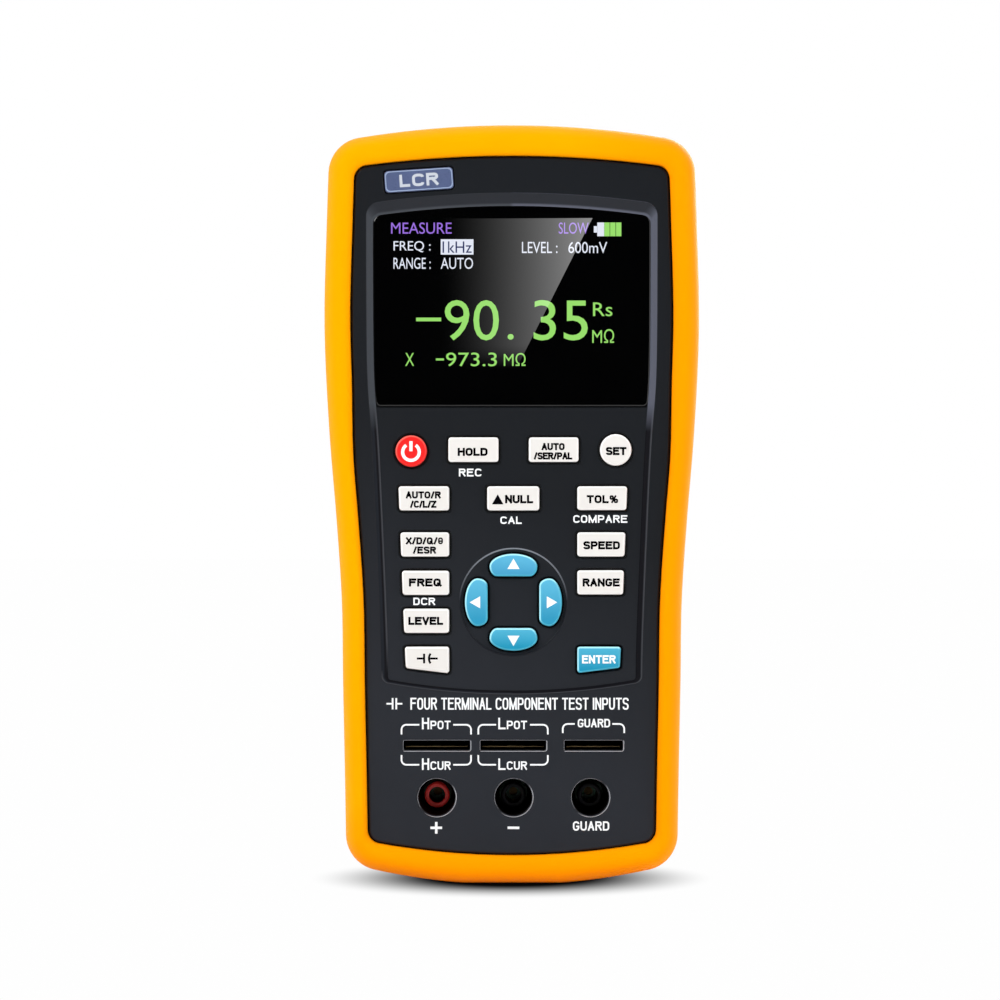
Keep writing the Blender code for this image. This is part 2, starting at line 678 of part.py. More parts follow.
def keypad():
    """Key caps, each with a flange behind the panel, and the mat that springs them back."""
    flange_front = PANEL_BACK_Y + GAP
    flange_back = flange_front + KEY_FLANGE_THICK
    top = FLOOR_Y - KEY_PROUD
    steps = ((flange_back, KEY_FLANGE), (flange_front, KEY_FLANGE), (flange_front, 0.0),
             (top + 0.3, 0.0), (top, -0.3))
    for name, (loop, look) in KEYS.items():
        x = sum(point[0] for point in loop) / len(loop)
        z = sum(point[1] for point in loop) / len(loop)
        loft(name, stack(loop, steps), look, origin=(x, top, z))
    mat_front = flange_back + KEY_TRAVEL + GAP
    mat = rounded([(-28.5, 50.0), (28.5, 50.0), (31.0, 111.8), (-31.0, 111.8)], 2.0)
    plate("keypad_mat", [mat], (mat_front, BOARD_Y - GAP), MAT_GREY)


def electronics():
    """Circuit boards and what is soldered to them."""
    inside = HOLSTER_WALL + GAP + SHELL_WALL + 0.6
    board = outline(lambda z: smooth(BODY_SIDE, z) - inside,
                    lambda x: HEIGHT - inside - TOP_BOW * x * x,
                    lambda x: BOARD_BASE, 3.6, 2.0, side_steps=6)
    boss_holes = [circle(x, z, BOSS_RADIUS + GAP, 12) for x, z in CASE_SCREWS[:2]]
    board_back = BOARD_Y + BOARD_THICK
    plate("main_board", [board] + boss_holes, (BOARD_Y, board_back), BOARD_GREEN)
    on_board = board_back + GAP
    block("processor_chip", (-8.0, 6.0), (on_board, on_board + 1.4), (128.0, 142.0), BLACK)
    block("converter_chip", (-24.0, -14.0), (on_board, on_board + 1.6), (60.0, 68.0), BLACK)
    block("range_relay", (14.0, 24.0), (on_board, on_board + 5.5), (54.0, 69.0), DIFFUSER_WHITE, 0.4)
    block("battery_socket", (8.0, 16.0), (on_board, on_board + 3.4), (91.0, 97.0), DIFFUSER_WHITE, 0.3)
    turned("buzzer", [(0.0, on_board), (6.0, on_board), (6.0, on_board + 4.0), (0.0, on_board + 4.0)],
           22.0, 150.0, BLACK)
    pin_holes = [circle(x, JACK_Z, 1.1, 10) for x in JACK_X]
    leaf_holes = [rectangle(x, z, 2.2, 1.0, 0.0) for x, z in leaf_tails()]
    terminal = rectangle(0, 26.5, 58.0, 22.0, 1.0)
    back = TERMINAL_BOARD_Y + BOARD_THICK
    plate("terminal_board", [terminal] + pin_holes + leaf_holes, (TERMINAL_BOARD_Y, back), BOARD_GREEN)
    flex = 0.6
    under, over = 39.0, 49.0
    far = back + GAP
    path = [(on_board, over), (on_board + flex, over), (on_board + flex, under + flex),
            (far + flex, under + flex), (far + flex, 34.0), (far, 34.0), (far, under), (on_board, under)]
    loft("board_link", [[(x, y, z) for y, z in path] for x in (5.0, 15.0)], BRASS)


def leaf_levels():
    """Height of the underside of the upper and lower spring contacts in a slot."""
    return {"pot": SLOT_Z + 0.75, "cur": SLOT_Z - 0.75 - LEAF_THICK}


def leaf_contacts():
    """Name, span and underside height of every spring contact."""
    spans, heights = slot_spans(), leaf_levels()
    leaves = [(f"contact_{slot}_{kind}", spans[slot], heights[kind])
              for slot in ("high", "low") for kind in ("pot", "cur")]
    return leaves + [("contact_guard", spans["guard"], heights["cur"])]


def leaf_tails():
    """Centre of each spring contact's solder tail."""
    return [((span[0] + span[1]) / 2, under + LEAF_THICK / 2) for _, span, under in leaf_contacts()]


def terminals():
    """Terminal block, jack posts, jack sockets and the slots' spring contacts."""
    front = PANEL_BACK_Y + GAP
    block_x, block_z = (-29.0, 29.5), (15.5, 38.0)
    body = loft("terminal_block", box(block_x, (front, BLOCK_BACK_Y), block_z), BLACK)
    floor = BLOCK_BACK_Y - 2.0
    hollows = [stack(circle(x, JACK_Z, JACK_HOLE, 20), ((front - 1.0, 0.0), (floor, 0.0))) for x in JACK_X]
    hollows += [stack(rectangle((a + b) / 2, SLOT_Z, b - a + 0.6, SLOT_CAVITY, 0.0),
                      ((front - 1.0, 0.0), (-4.0, 0.0))) for a, b in slot_spans().values()]
    boolean(body, tool("block_hollows", hollows))
    passages = [stack(circle(x, JACK_Z, POST_RADIUS + GAP, 16), ((floor - 1.0, 0.0), (3.0, 0.0)))
                for x in JACK_X]
    passages += [stack(rectangle(x, z, 2.2, 1.0, 0.0), ((-5.0, 0.0), (3.0, 0.0))) for x, z in leaf_tails()]
    boolean(body, tool("block_passages", passages))

    post_back = TERMINAL_BOARD_Y - GAP
    lip = 1.0
    bore = CONTACT_RADIUS + GAP
    post = [(POST_BORE, POST_FRONT_Y), (POST_RADIUS - 0.3, POST_FRONT_Y), (POST_RADIUS, POST_FRONT_Y + 0.3),
            (POST_RADIUS, post_back), (bore, post_back), (bore, POST_FRONT_Y + lip),
            (POST_BORE, POST_FRONT_Y + lip)]
    tip = POST_FRONT_Y + lip + GAP
    base = post_back - 2.0
    socket = [(0.0, base - 1.2), (CONTACT_BORE, base - 1.2), (CONTACT_BORE, tip), (CONTACT_RADIUS, tip),
              (CONTACT_RADIUS, post_back), (0.8, post_back), (0.8, TERMINAL_BOARD_Y + 2.8),
              (0.0, TERMINAL_BOARD_Y + 2.8)]
    for x, label, look in zip(JACK_X, ("plus", "minus", "guard"), (JACK_RED, BLACK, BLACK)):
        turned(f"jack_post_{label}", post, x, JACK_Z, look, ring=True)
        turned(f"jack_socket_{label}", socket, x, JACK_Z, BRASS, steps=12)
    for name, (left, right), under in leaf_contacts():
        middle = (left + right) / 2
        half = (right - left) / 2 - 0.5
        tail = 0.7
        shape = [(-half, -14.6), (half, -14.6), (half, -4.6), (tail, -4.6),
                 (tail, 7.4), (-tail, 7.4), (-tail, -4.6), (-half, -4.6)]
        strip = [[(middle + x, y, height) for x, y in shape] for height in (under, under + LEAF_THICK)]
        loft(name, strip, BRASS)


def screw(name, x, z, head_y, head_depth, head_radius, tip_y):
    """Pan-head screw driven in from the back."""
    shank = SCREW_SHANK if head_radius > 2.0 else 0.8
    profile = [(0.0, tip_y), (shank * 0.5, tip_y), (shank, tip_y + 1.0), (shank, head_y - head_depth),
               (head_radius, head_y - head_depth), (head_radius, head_y - 0.4),
               (head_radius - 0.5, head_y), (0.0, head_y)]
    turned(name, profile, x, z, STEEL, steps=12)


def back_pieces():
    """Battery, its cover, the tilt stand with its pin, and the screws."""
    block("battery_pack", (-BAY_HALF + 0.6, BAY_HALF - 0.6), (BATTERY_BAY_Y + 1.2, COVER_Y[0] - 0.7),
          (BATTERY_BAY_Z[0] + 0.8, BATTERY_BAY_Z[1] - 0.8), BATTERY_BLUE, 1.5)
    cover_loop = rectangle(0, sum(COVER_Z) / 2, 2 * COVER_HALF, COVER_Z[1] - COVER_Z[0], 1.7)
    cover_holes = [circle(x, z, 1.1, 12) for x, z in COVER_SCREWS]
    cover = plate("battery_cover", [cover_loop] + cover_holes, COVER_Y, CASE_GREY)
    sinks = [stack(circle(x, z, 2.1, 16), ((16.4, 0.0), (18.0, 0.0))) for x, z in COVER_SCREWS]
    boolean(cover, tool("cover_sinks", sinks))
    for i, (x, z) in enumerate(COVER_SCREWS, 1):
        screw(f"cover_screw_{i}", x, z, 17.3, 0.6, 1.8, 9.5)
    for i, (x, z) in enumerate(CASE_SCREWS, 1):
        screw(f"case_screw_{i}", x, z, 19.4, 1.8, SCREW_HEAD, -12.0)
    lead = [(0.0, -5.7), (1.1, -5.7), (1.1, 1.9), (0.0, 1.9)]
    turned("battery_lead", lead, 12.0, 94.0, KEY_RED, steps=8)
    tilt_stand()


def tilt_stand():
    """Tilt stand: a flat leg that hangs from a barrel round the hinge pin."""
    y, z = STAND_PIVOT
    leg = rounded([(-STAND_HALF, STAND_FOOT_Z), (STAND_HALF, STAND_FOOT_Z), (STAND_HALF, z), (-STAND_HALF, z)],
                  2.5)
    bm = bmesh.new()
    fill_loft(bm, stack(leg, ((STAND_INNER_Y, -0.3), (STAND_INNER_Y + 0.3, 0.0),
                              (REAR_FACE_Y - 0.5, 0.0), (REAR_FACE_Y, -0.5))))
    stand = add("tilt_stand", bm, CASE_GREY, origin=(0, y, z))
    barrel = hinge_cutter("stand_barrel", STAND_BARREL, STAND_HALF, 20)
    boolean(stand, barrel, "UNION")
    panel = rectangle(0, 76.0, 38.0, 74.0, 3.0)
    boolean(stand, tool("stand_panel", [stack(panel, ((19.2, -0.7), (REAR_FACE_Y, 0.0), (21.0, 0.0)))]))
    boolean(stand, hinge_cutter("stand_bore", PIN_RADIUS + GAP, STAND_HALF + 1.0, 12))
    pin = bmesh.new()
    half = STAND_HALF + 3.4
    bmesh.ops.create_cone(pin, cap_ends=True, segments=12, radius1=PIN_RADIUS, radius2=PIN_RADIUS,
                          depth=2 * half)
    bmesh.ops.transform(pin, verts=pin.verts,
                        matrix=Matrix.Translation((0, y, z)) @ Matrix.Rotation(math.pi / 2, 4, "Y"))
    add("stand_pin", pin, STEEL, origin=(0, y, z))


holster()
front_case()
rear_case()
display()
keypad()
electronics()
terminals()
back_pieces()
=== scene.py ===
"""Looks for the handheld LCR meter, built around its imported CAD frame.

Outlines repeat the CAD model's, with more points. Sizes are in millimetres and
become metres where meshes are made.
"""

import json
import math

import bmesh
import bpy
from mathutils import Matrix, Vector


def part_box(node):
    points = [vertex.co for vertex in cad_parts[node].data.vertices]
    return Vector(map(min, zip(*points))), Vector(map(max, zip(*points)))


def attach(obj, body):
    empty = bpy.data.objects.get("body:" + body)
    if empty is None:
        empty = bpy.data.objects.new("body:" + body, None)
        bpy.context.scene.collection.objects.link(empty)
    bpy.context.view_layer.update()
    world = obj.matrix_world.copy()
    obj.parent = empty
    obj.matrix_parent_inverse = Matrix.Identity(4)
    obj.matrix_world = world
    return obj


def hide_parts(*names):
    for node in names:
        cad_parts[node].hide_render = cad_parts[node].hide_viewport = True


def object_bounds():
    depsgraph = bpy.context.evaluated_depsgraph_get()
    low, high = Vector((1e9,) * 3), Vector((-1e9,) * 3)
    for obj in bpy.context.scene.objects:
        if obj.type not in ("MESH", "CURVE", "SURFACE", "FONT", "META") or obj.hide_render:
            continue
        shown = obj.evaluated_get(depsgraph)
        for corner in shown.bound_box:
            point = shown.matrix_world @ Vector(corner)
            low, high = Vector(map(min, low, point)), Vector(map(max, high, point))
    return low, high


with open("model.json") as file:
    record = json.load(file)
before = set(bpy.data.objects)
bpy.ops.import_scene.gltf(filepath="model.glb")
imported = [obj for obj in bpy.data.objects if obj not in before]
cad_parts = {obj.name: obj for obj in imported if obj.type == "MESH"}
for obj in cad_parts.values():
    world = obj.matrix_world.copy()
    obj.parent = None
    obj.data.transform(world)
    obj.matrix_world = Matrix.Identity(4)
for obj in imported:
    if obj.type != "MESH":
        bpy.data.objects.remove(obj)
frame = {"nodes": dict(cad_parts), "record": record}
cad_low, cad_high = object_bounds()

MM = 0.001
GAP = 0.3

# Faces that meet at a greater angle keep a sharp edge
SHARP = math.radians(32)
CAD_SHARP = math.radians(30)

# Points nearer than this become one
NEAR = 1e-4
NEAR_IN_PRINT = 1e-5

# Body outline
HEIGHT = cad_high.z / MM
HALF_DEPTH = cad_high.y / MM
BODY_SIDE = ((0, 41.0), (25, 41.4), (50, 41.9), (70, 42.2), (90, 43.5), (112, 45.3), (138, 46.5),
             (165, 45.9), (188, 45.1))
TOP_BOW = 0.00215
BASE_BOW = 0.0032
BASE_FLAT = 0.45
FOOT_HALF = math.sqrt(BASE_FLAT / BASE_BOW)
CORNER_RADIUS = 9.0
LEAST_RADIUS = 1.2

# Panel opening in the holster
RIM_LOW = 5.5
RIM_HIGH = 6.5
RIM_RISE = (100.0, 130.0)
OPENING_TOP = 180.2
OPENING_TOP_BOW = 0.0018
OPENING_BASE = 7.1
OPENING_BASE_BOW = 0.0027
OPENING_RADIUS = 3.5

# Depths
HOLSTER_WALL = 2.5
LIP_FRONT = -18.7
LIP_INNER = -16.2
REAR_LIP_INNER = 17.3
REAR_RIM = 8.0
FACE_Y = -18.3
FLOOR_Y = -17.4
PANEL_BACK_Y = -15.9
SHELL_WALL = 2.0
SHOULDER_Y = -13.9
SPLIT_Y = 0.15

# Sunken bay
BAY_SIDE = ((46, 32.2), (60, 32.4), (90, 33.6), (110, 34.6), (125, 35.7), (150, 36.0), (172, 36.0))
BAY_TOP = 171.0
BAY_TOP_BOW = 0.0021
BAY_BASE = 46.9
BAY_BASE_BOW = 0.0029
BAY_SLOPE_SIDE = 1.4
BAY_SLOPE_TOP = 2.8
BAY_SLOPE_BASE = 0.8
BAY_RADIUS = 3.4

# Display
WINDOW_BASE = 117.9
WINDOW_FRONT_Y = -17.6
WINDOW_BACK_Y = -16.9
SCREEN_CENTRE = (-1.2, 143.1)
SCREEN_SIZE = (57.6, 43.2)

# Keys
KEY_PROUD = 1.4
KEY_CORNER = 0.7
KEY_CENTRE_X = 0.25
KEY_OUTER = 26.65
KEY_TAPER = 0.039
KEY_TAPER_Z = 56.0
KEY_BASE = 51.4
KEY_INNER_LEFT = -15.5
KEY_INNER_RIGHT = 16.2
ROUND_KEY_RADIUS = 3.9
PAD_CENTRE = (0.4, 69.7)
PAD_REACH = 8.9
PAD_DISH_RADIUS = 13.4
PAD_HALF_WIDTH = 5.9
PAD_DOME = 3.1
PAD_INNER = 2.5
PAD_CORNER = 1.9
KEY_TOP_Y = FLOOR_Y - KEY_PROUD

# Name badge
BADGE_CENTRE = (-23.0, 174.2)
BADGE_SIZE = (17.0, 5.4)
BADGE_TILT = math.radians(3.8)

# Terminals
JACKS = {"plus": -18.6, "minus": 0.4, "guard": 19.4}
JACK_Z = 21.45
JACK_HOLE = 4.6
SLOT_Z = 34.3
SLOT_HEIGHT = 2.4
SLOT_CORNER = 0.35
SLOTS = {"high": (-26.8, -10.4), "low": (-7.8, 8.4), "guard": (13.0, 27.4)}

# Height of printing, and of one mark over the last
INK = 0.02
LAYER = 0.004

# Studio
CAMERA = (-2.93, -1118.3, 95.0)
FIELD = 247.4
GLARE_Y = -1150.0
GLARE_STRENGTH = 7.0
# Reach of the floor's painted shadow across and in depth
SHADOW_REACH = (53.0, 62.0)


# ---------------------------------------------------------------- outlines

def spread(start, end, steps):
    """Evenly spaced values from start up to, but not including, end."""
    return [start + (end - start) * i / steps for i in range(steps)]


def smooth(stations, at):
    """Value at a height, on a smooth curve through (height, value) stations."""
    last = len(stations) - 2
    i = next((n for n in range(last) if at < stations[n + 1][0]), last)
    (z0, v0), (z1, v1) = stations[i], stations[i + 1]
    t = min(max((at - z0) / (z1 - z0), 0.0), 1.0)

    def rise(n):
        low = stations[max(n - 1, 0)]
        high = stations[min(n + 1, len(stations) - 1)]
        return (high[1] - low[1]) / (high[0] - low[0]) * (z1 - z0)

    ease = t * t * (3 - 2 * t)
    return (v0 * (1 - ease) + v1 * ease + rise(i) * t * (1 - t) ** 2
            - rise(i + 1) * t * t * (1 - t))


def round_corner(corner, ways, radius, steps):
    """Arc that joins the two curves leaving a corner. Each way gives a point at a distance."""
    reach = radius
    for _ in range(4):
        arms = [(Vector(way(reach)) - corner).normalized() for way in ways]
        half = arms[0].angle(arms[1]) / 2
        reach = radius / math.tan(half)
    centre = corner + (arms[0] + arms[1]).normalized() * radius / math.sin(half)
    spokes = [corner + arm * reach - centre for arm in arms]
    start, end = [math.atan2(spoke.y, spoke.x) for spoke in spokes]
    sweep = (end - start + math.pi) % (2 * math.pi) - math.pi
    angles = [start + sweep * i / steps for i in range(steps + 1)]
    return [(centre.x + radius * math.cos(a), centre.y + radius * math.sin(a)) for a in angles]


def outline(side, top, base, top_radius, base_radius):
    """Closed loop symmetric about x = 0, from curves for its side, top and base."""

    def corner_of(edge):
        z = edge(0)
        for _ in range(6):
            z = edge(side(z))
        return Vector((side(z), z))

    low, high = corner_of(base), corner_of(top)
    low_arc = round_corner(low, (lambda d: (low.x - d, base(low.x - d)),
                                 lambda d: (side(low.y + d), low.y + d)), base_radius, 10)
    high_arc = round_corner(high, (lambda d: (side(high.y - d), high.y - d),
                                   lambda d: (high.x - d, top(high.x - d))), top_radius, 10)
    base_x = spread(0.0, FOOT_HALF, 3) + spread(FOOT_HALF, low_arc[0][0], 7)
    side_z = spread(low_arc[-1][1], high_arc[0][1], 30)[1:]
    top_x = spread(high_arc[-1][0], 0, 10)[1:] + [0.0]
    right = [(x, base(x)) for x in base_x] + low_arc + [(side(z), z) for z in side_z]
    right += high_arc + [(x, top(x)) for x in top_x]
    return right + [(-x, z) for x, z in reversed(right[1:-1])]


def body_loop(inset):
    """Outline of the whole meter, moved inwards."""
    radius = max(CORNER_RADIUS - inset, LEAST_RADIUS)
    return outline(lambda z: smooth(BODY_SIDE, z) - inset,
                   lambda x: HEIGHT - inset - TOP_BOW * x * x,
                   lambda x: inset + max(0.0, BASE_BOW * x * x - BASE_FLAT),
                   radius, radius)


def opening_loop(inset):
    """Outline of the panel opening in the holster, moved inwards."""
    radius = max(OPENING_RADIUS - inset, LEAST_RADIUS)

    def side(z):
        t = min(max((z - RIM_RISE[0]) / (RIM_RISE[1] - RIM_RISE[0]), 0.0), 1.0)
        rim = RIM_LOW + (RIM_HIGH - RIM_LOW) * t * t * (3 - 2 * t)
        return smooth(BODY_SIDE, z) - rim - inset

    return outline(side,
                   lambda x: OPENING_TOP - inset - OPENING_TOP_BOW * x * x,
                   lambda x: OPENING_BASE + inset + OPENING_BASE_BOW * x * x,
                   radius, radius)


def bay_loop(slope):
    """Outline of the sunken bay: slope 0 at the panel's face, 1 at the bay's floor."""
    return outline(lambda z: smooth(BAY_SIDE, z) - BAY_SLOPE_SIDE * slope,
                   lambda x: BAY_TOP - BAY_SLOPE_TOP * slope - BAY_TOP_BOW * x * x,
                   lambda x: BAY_BASE + BAY_SLOPE_BASE * slope + BAY_BASE_BOW * x * x,
                   BAY_RADIUS - slope, 2.0 - slope)


def window_loop(inset):
    """Outline of the display window, which fills the upper end of the bay's floor."""
    return outline(lambda z: smooth(BAY_SIDE, z) - BAY_SLOPE_SIDE - inset,
                   lambda x: BAY_TOP - BAY_SLOPE_TOP - inset - BAY_TOP_BOW * x * x,
                   lambda x: WINDOW_BASE + inset,
                   BAY_RADIUS - 1.0, LEAST_RADIUS)


def rounded(corners, radius):
    """Polygon with every corner rounded, or left sharp where the radius is 0."""
    if not radius:
        return list(corners)
    loop = []
    points = [Vector(corner) for corner in corners]
    for i, corner in enumerate(points):
        before = (points[i - 1] - corner).normalized()
        after = (points[(i + 1) % len(points)] - corner).normalized()
        loop += round_corner(corner, (lambda d: corner + before * d, lambda d: corner + after * d),
                             radius, 6)
    return loop


def rectangle(x, z, width, height, radius=0.0, tilt=0.0):
    """Rounded rectangle about a centre."""
    turn = Matrix.Rotation(tilt, 2)
    corners = [turn @ Vector((sx * width / 2, sz * height / 2))
               for sx, sz in ((-1, -1), (1, -1), (1, 1), (-1, 1))]
    return rounded([(x + corner.x, z + corner.y) for corner in corners], radius)


def quarter(steps):
    """(cosine, sine) at even steps over a quarter turn."""
    angles = [i / steps * math.pi / 2 for i in range(steps + 1)]
    return [(math.cos(a), math.sin(a)) for a in angles]


def circle(x, z, radius, steps=48):
    """Round loop about a centre."""
    return [(x + radius * math.cos(a), z + radius * math.sin(a))
            for a in spread(0, 2 * math.pi, steps)]


def grow(loop, distance):
    """Loop moved outwards (or inwards, if negative), for a loop that runs anticlockwise."""
    moved = []
    for i, point in enumerate(loop):
        before = Vector(point) - Vector(loop[i - 1])
        after = Vector(loop[(i + 1) % len(loop)]) - Vector(point)
        out = Vector((before.y, -before.x)).normalized() + Vector((after.y, -after.x)).normalized()
        out *= 2 * distance / out.length_squared
        moved.append((point[0] + out.x, point[1] + out.y))
    return moved


def mix(first, second, share):
    """Loop part of the way from one loop to another."""
    return [(a[0] + (b[0] - a[0]) * share, a[1] + (b[1] - a[1]) * share)
            for a, b in zip(first, second)]


def key_edge(side, z):
    """Outer edge of the keys in the two side columns, which lean in towards the base."""
    return KEY_CENTRE_X + side * (KEY_OUTER + KEY_TAPER * (z - KEY_TAPER_Z))


def side_key(side, low, high):
    """Key in a side column. One without a low edge ends on the bowed base of the keypad."""
    inner = KEY_INNER_LEFT if side < 0 else KEY_INNER_RIGHT

    def base(x):
        return low if low else KEY_BASE + BAY_BASE_BOW * x * x

    foot = key_edge(side, low or KEY_BASE)
    corners = [(inner, base(inner)), (foot, base(foot)), (key_edge(side, high), high), (inner, high)]
    if side < 0:
        corners.reverse()
    return rounded(corners, KEY_CORNER)


def middle_key(left, right, low, high):
    """Upright rectangular key."""
    return rectangle((left + right) / 2, (low + high) / 2, right - left, high - low, KEY_CORNER)


def pad_key(turn):
    """Direction key: domed outside, flat inside with soft corners, turned about the pad."""
    dome = [(PAD_HALF_WIDTH * math.cos(a), PAD_DOME * math.sin(a)) for a in spread(0, math.pi, 24)]
    flat = PAD_HALF_WIDTH - PAD_CORNER
    left = [(-flat - PAD_CORNER * math.cos(a), -PAD_INNER * math.sin(a))
            for a in spread(0, math.pi / 2, 8)] + [(-flat, -PAD_INNER)]
    right = [(-x, z) for x, z in reversed(left[1:])]
    spin = Matrix.Rotation(turn, 2)
    loop = [spin @ Vector((x, z + PAD_REACH)) for x, z in dome + left + right]
    return [(PAD_CENTRE[0] + point.x, PAD_CENTRE[1] + point.y) for point in loop]


def slot_loop(label, wider=0.0):
    """Outline of a component slot."""
    left, right = SLOTS[label]
    return rectangle((left + right) / 2, SLOT_Z, right - left + wider, SLOT_HEIGHT + wider, SLOT_CORNER)


def badge_loop(growth):
    """Name plate outline, tilted to follow the bowed top edge."""
    width, height = BADGE_SIZE
    return rectangle(*BADGE_CENTRE, width + 2 * growth, height + 2 * growth, 1.0, BADGE_TILT)


KEYS = {
    "key_power": (circle(-24.9, 107.1, ROUND_KEY_RADIUS), "key_red"),
    "key_hold": (middle_key(-15.7, -3.3, 104.4, 110.5), "key_white"),
    "key_circuit": (middle_key(4.2, 16.5, 104.4, 110.5), "key_white"),
    "key_set": (circle(25.7, 107.4, ROUND_KEY_RADIUS), "key_white"),
    "key_function": (side_key(-1, 92.4, 98.4), "key_white"),
    "key_null": (middle_key(-6.1, 6.8, 92.4, 98.4), "key_white"),
    "key_tolerance": (side_key(1, 92.5, 98.4), "key_white"),
    "key_parameter": (side_key(-1, 81.0, 87.0), "key_white"),
    "key_speed": (side_key(1, 81.0, 87.0), "key_white"),
    "key_frequency": (side_key(-1, 71.5, 77.5), "key_white"),
    "key_range": (side_key(1, 71.6, 77.6), "key_white"),
    "key_level": (side_key(-1, 62.1, 68.1), "key_white"),
    "key_sorting": (side_key(-1, None, 58.7), "key_white"),
    "key_enter": (side_key(1, None, 58.7), "key_blue"),
    "key_up": (pad_key(0.0), "key_blue"),
    "key_left": (pad_key(math.pi / 2), "key_blue"),
    "key_down": (pad_key(math.pi), "key_blue"),
    "key_right": (pad_key(-math.pi / 2), "key_blue"),
}


# ---------------------------------------------------------------- materials

class Nodes:
    """A material's or world's node tree, with short calls to add and join nodes."""

    def __init__(self, owner):
        owner.use_nodes = True
        self.owner = owner
        self.tree = owner.node_tree
        self.place = self.add("ShaderNodeTexCoord").outputs["Object"]

    def feed(self, socket, value):
        """Give an input a number, a colour, a direction or another node's output."""
        if isinstance(value, bpy.types.NodeSocket):
            self.tree.links.new(value, socket)
        elif socket.type == "RGBA":
            socket.default_value = (*value, 1.0)
        else:
            socket.default_value = value

    def add(self, kind, *feeds, **values):
        """New node. Feeds fill its first inputs. Names are properties, or inputs with _ for a space."""
        node = self.tree.nodes.new(kind)
        for key, value in values.items():
            if hasattr(node, key):
                setattr(node, key, value)
            else:
                self.feed(node.inputs[key.replace("_", " ")], value)
        for socket, value in zip(node.inputs, feeds):
            self.feed(socket, value)
        return node

    def surface(self, **values):
        """The finished material: its shader's inputs, with _ for a space."""
        shader = self.tree.nodes["Principled BSDF"]
        for key, value in values.items():
            self.feed(shader.inputs[key.replace("_", " ")], value)
        return self.owner

    def shown_by(self, shader):
        """The finished material, shown by another shader's output."""
        self.tree.nodes.remove(self.tree.nodes["Principled BSDF"])
        self.feed(self.tree.nodes["Material Output"].inputs["Surface"], shader)
        return self.owner

    def noise(self, size, detail=2.0):
        """Noise whose features are about this many millimetres across, from 0 to 1."""
        node = self.add("ShaderNodeTexNoise", self.place, Scale=1.0 / (size * MM), Detail=detail)
        return node.outputs["Fac"]

    def between(self, factor, low, high, start=0.3, end=0.7, soft=False):
        """A number that runs from low to high as a factor runs from start to end."""
        kind = "SMOOTHSTEP" if soft else "LINEAR"
        node = self.add("ShaderNodeMapRange", factor, start, end, low, high, interpolation_type=kind)
        return node.outputs["Result"]

    def rise(self, factor, start, end, soft=False):
        """A number that runs from 0 to 1 as a factor runs from start to end."""
        return self.between(factor, 0.0, 1.0, start, end, soft)

    def fall(self, factor, start, end):
        """A number that runs from 1 to 0 as a factor runs from start to end."""
        return self.between(factor, 1.0, 0.0, start, end)

    def sum_of(self, operation, first, second):
        """Result of a sum on two numbers."""
        return self.add("ShaderNodeMath", first, second, operation=operation).outputs["Value"]

    def product(self, first, *others):
        """Product of numbers."""
        for other in others:
            first = self.sum_of("MULTIPLY", first, other)
        return first

    def blend(self, factor, first, second):
        """Colour that runs from first to second."""
        node = self.add("ShaderNodeMix", factor, data_type="RGBA")
        self.feed(node.inputs[6], first)
        self.feed(node.inputs[7], second)
        return node.outputs[2]

    def bump(self, height, depth, **normal):
        """Normal from a height. Depth is in millimetres."""
        return self.add("ShaderNodeBump", Height=height, Strength=1.0, Distance=depth * MM,
                        **normal).outputs["Normal"]

    def along(self, axis, kind="Object"):
        """Position along an axis: in metres, or if Generated from 0 to 1 over the piece."""
        where = self.add("ShaderNodeTexCoord").outputs[kind]
        return self.add("ShaderNodeSeparateXYZ", where).outputs[axis]

    def facing(self, way):
        """Cosine of the angle between the surface's normal and a direction."""
        normal = self.add("ShaderNodeNewGeometry").outputs["Normal"]
        return self.add("ShaderNodeVectorMath", normal, way, operation="DOT_PRODUCT").outputs["Value"]

    def edges(self, radius):
        """(rounded normal, how near an edge is from 0 to 1) within a radius in millimetres."""
        soft = self.add("ShaderNodeBevel", samples=4, Radius=radius * MM).outputs["Normal"]
        return soft, self.between(self.facing(soft), 1.0, 0.0, 0.86, 0.99)


def new_material(name):
    """Node tree of a new material."""
    return Nodes(bpy.data.materials.new(name))


def tint(colour, share):
    """Colour made lighter or darker."""
    return tuple(min(max(channel * share, 0.0), 1.0) for channel in colour)


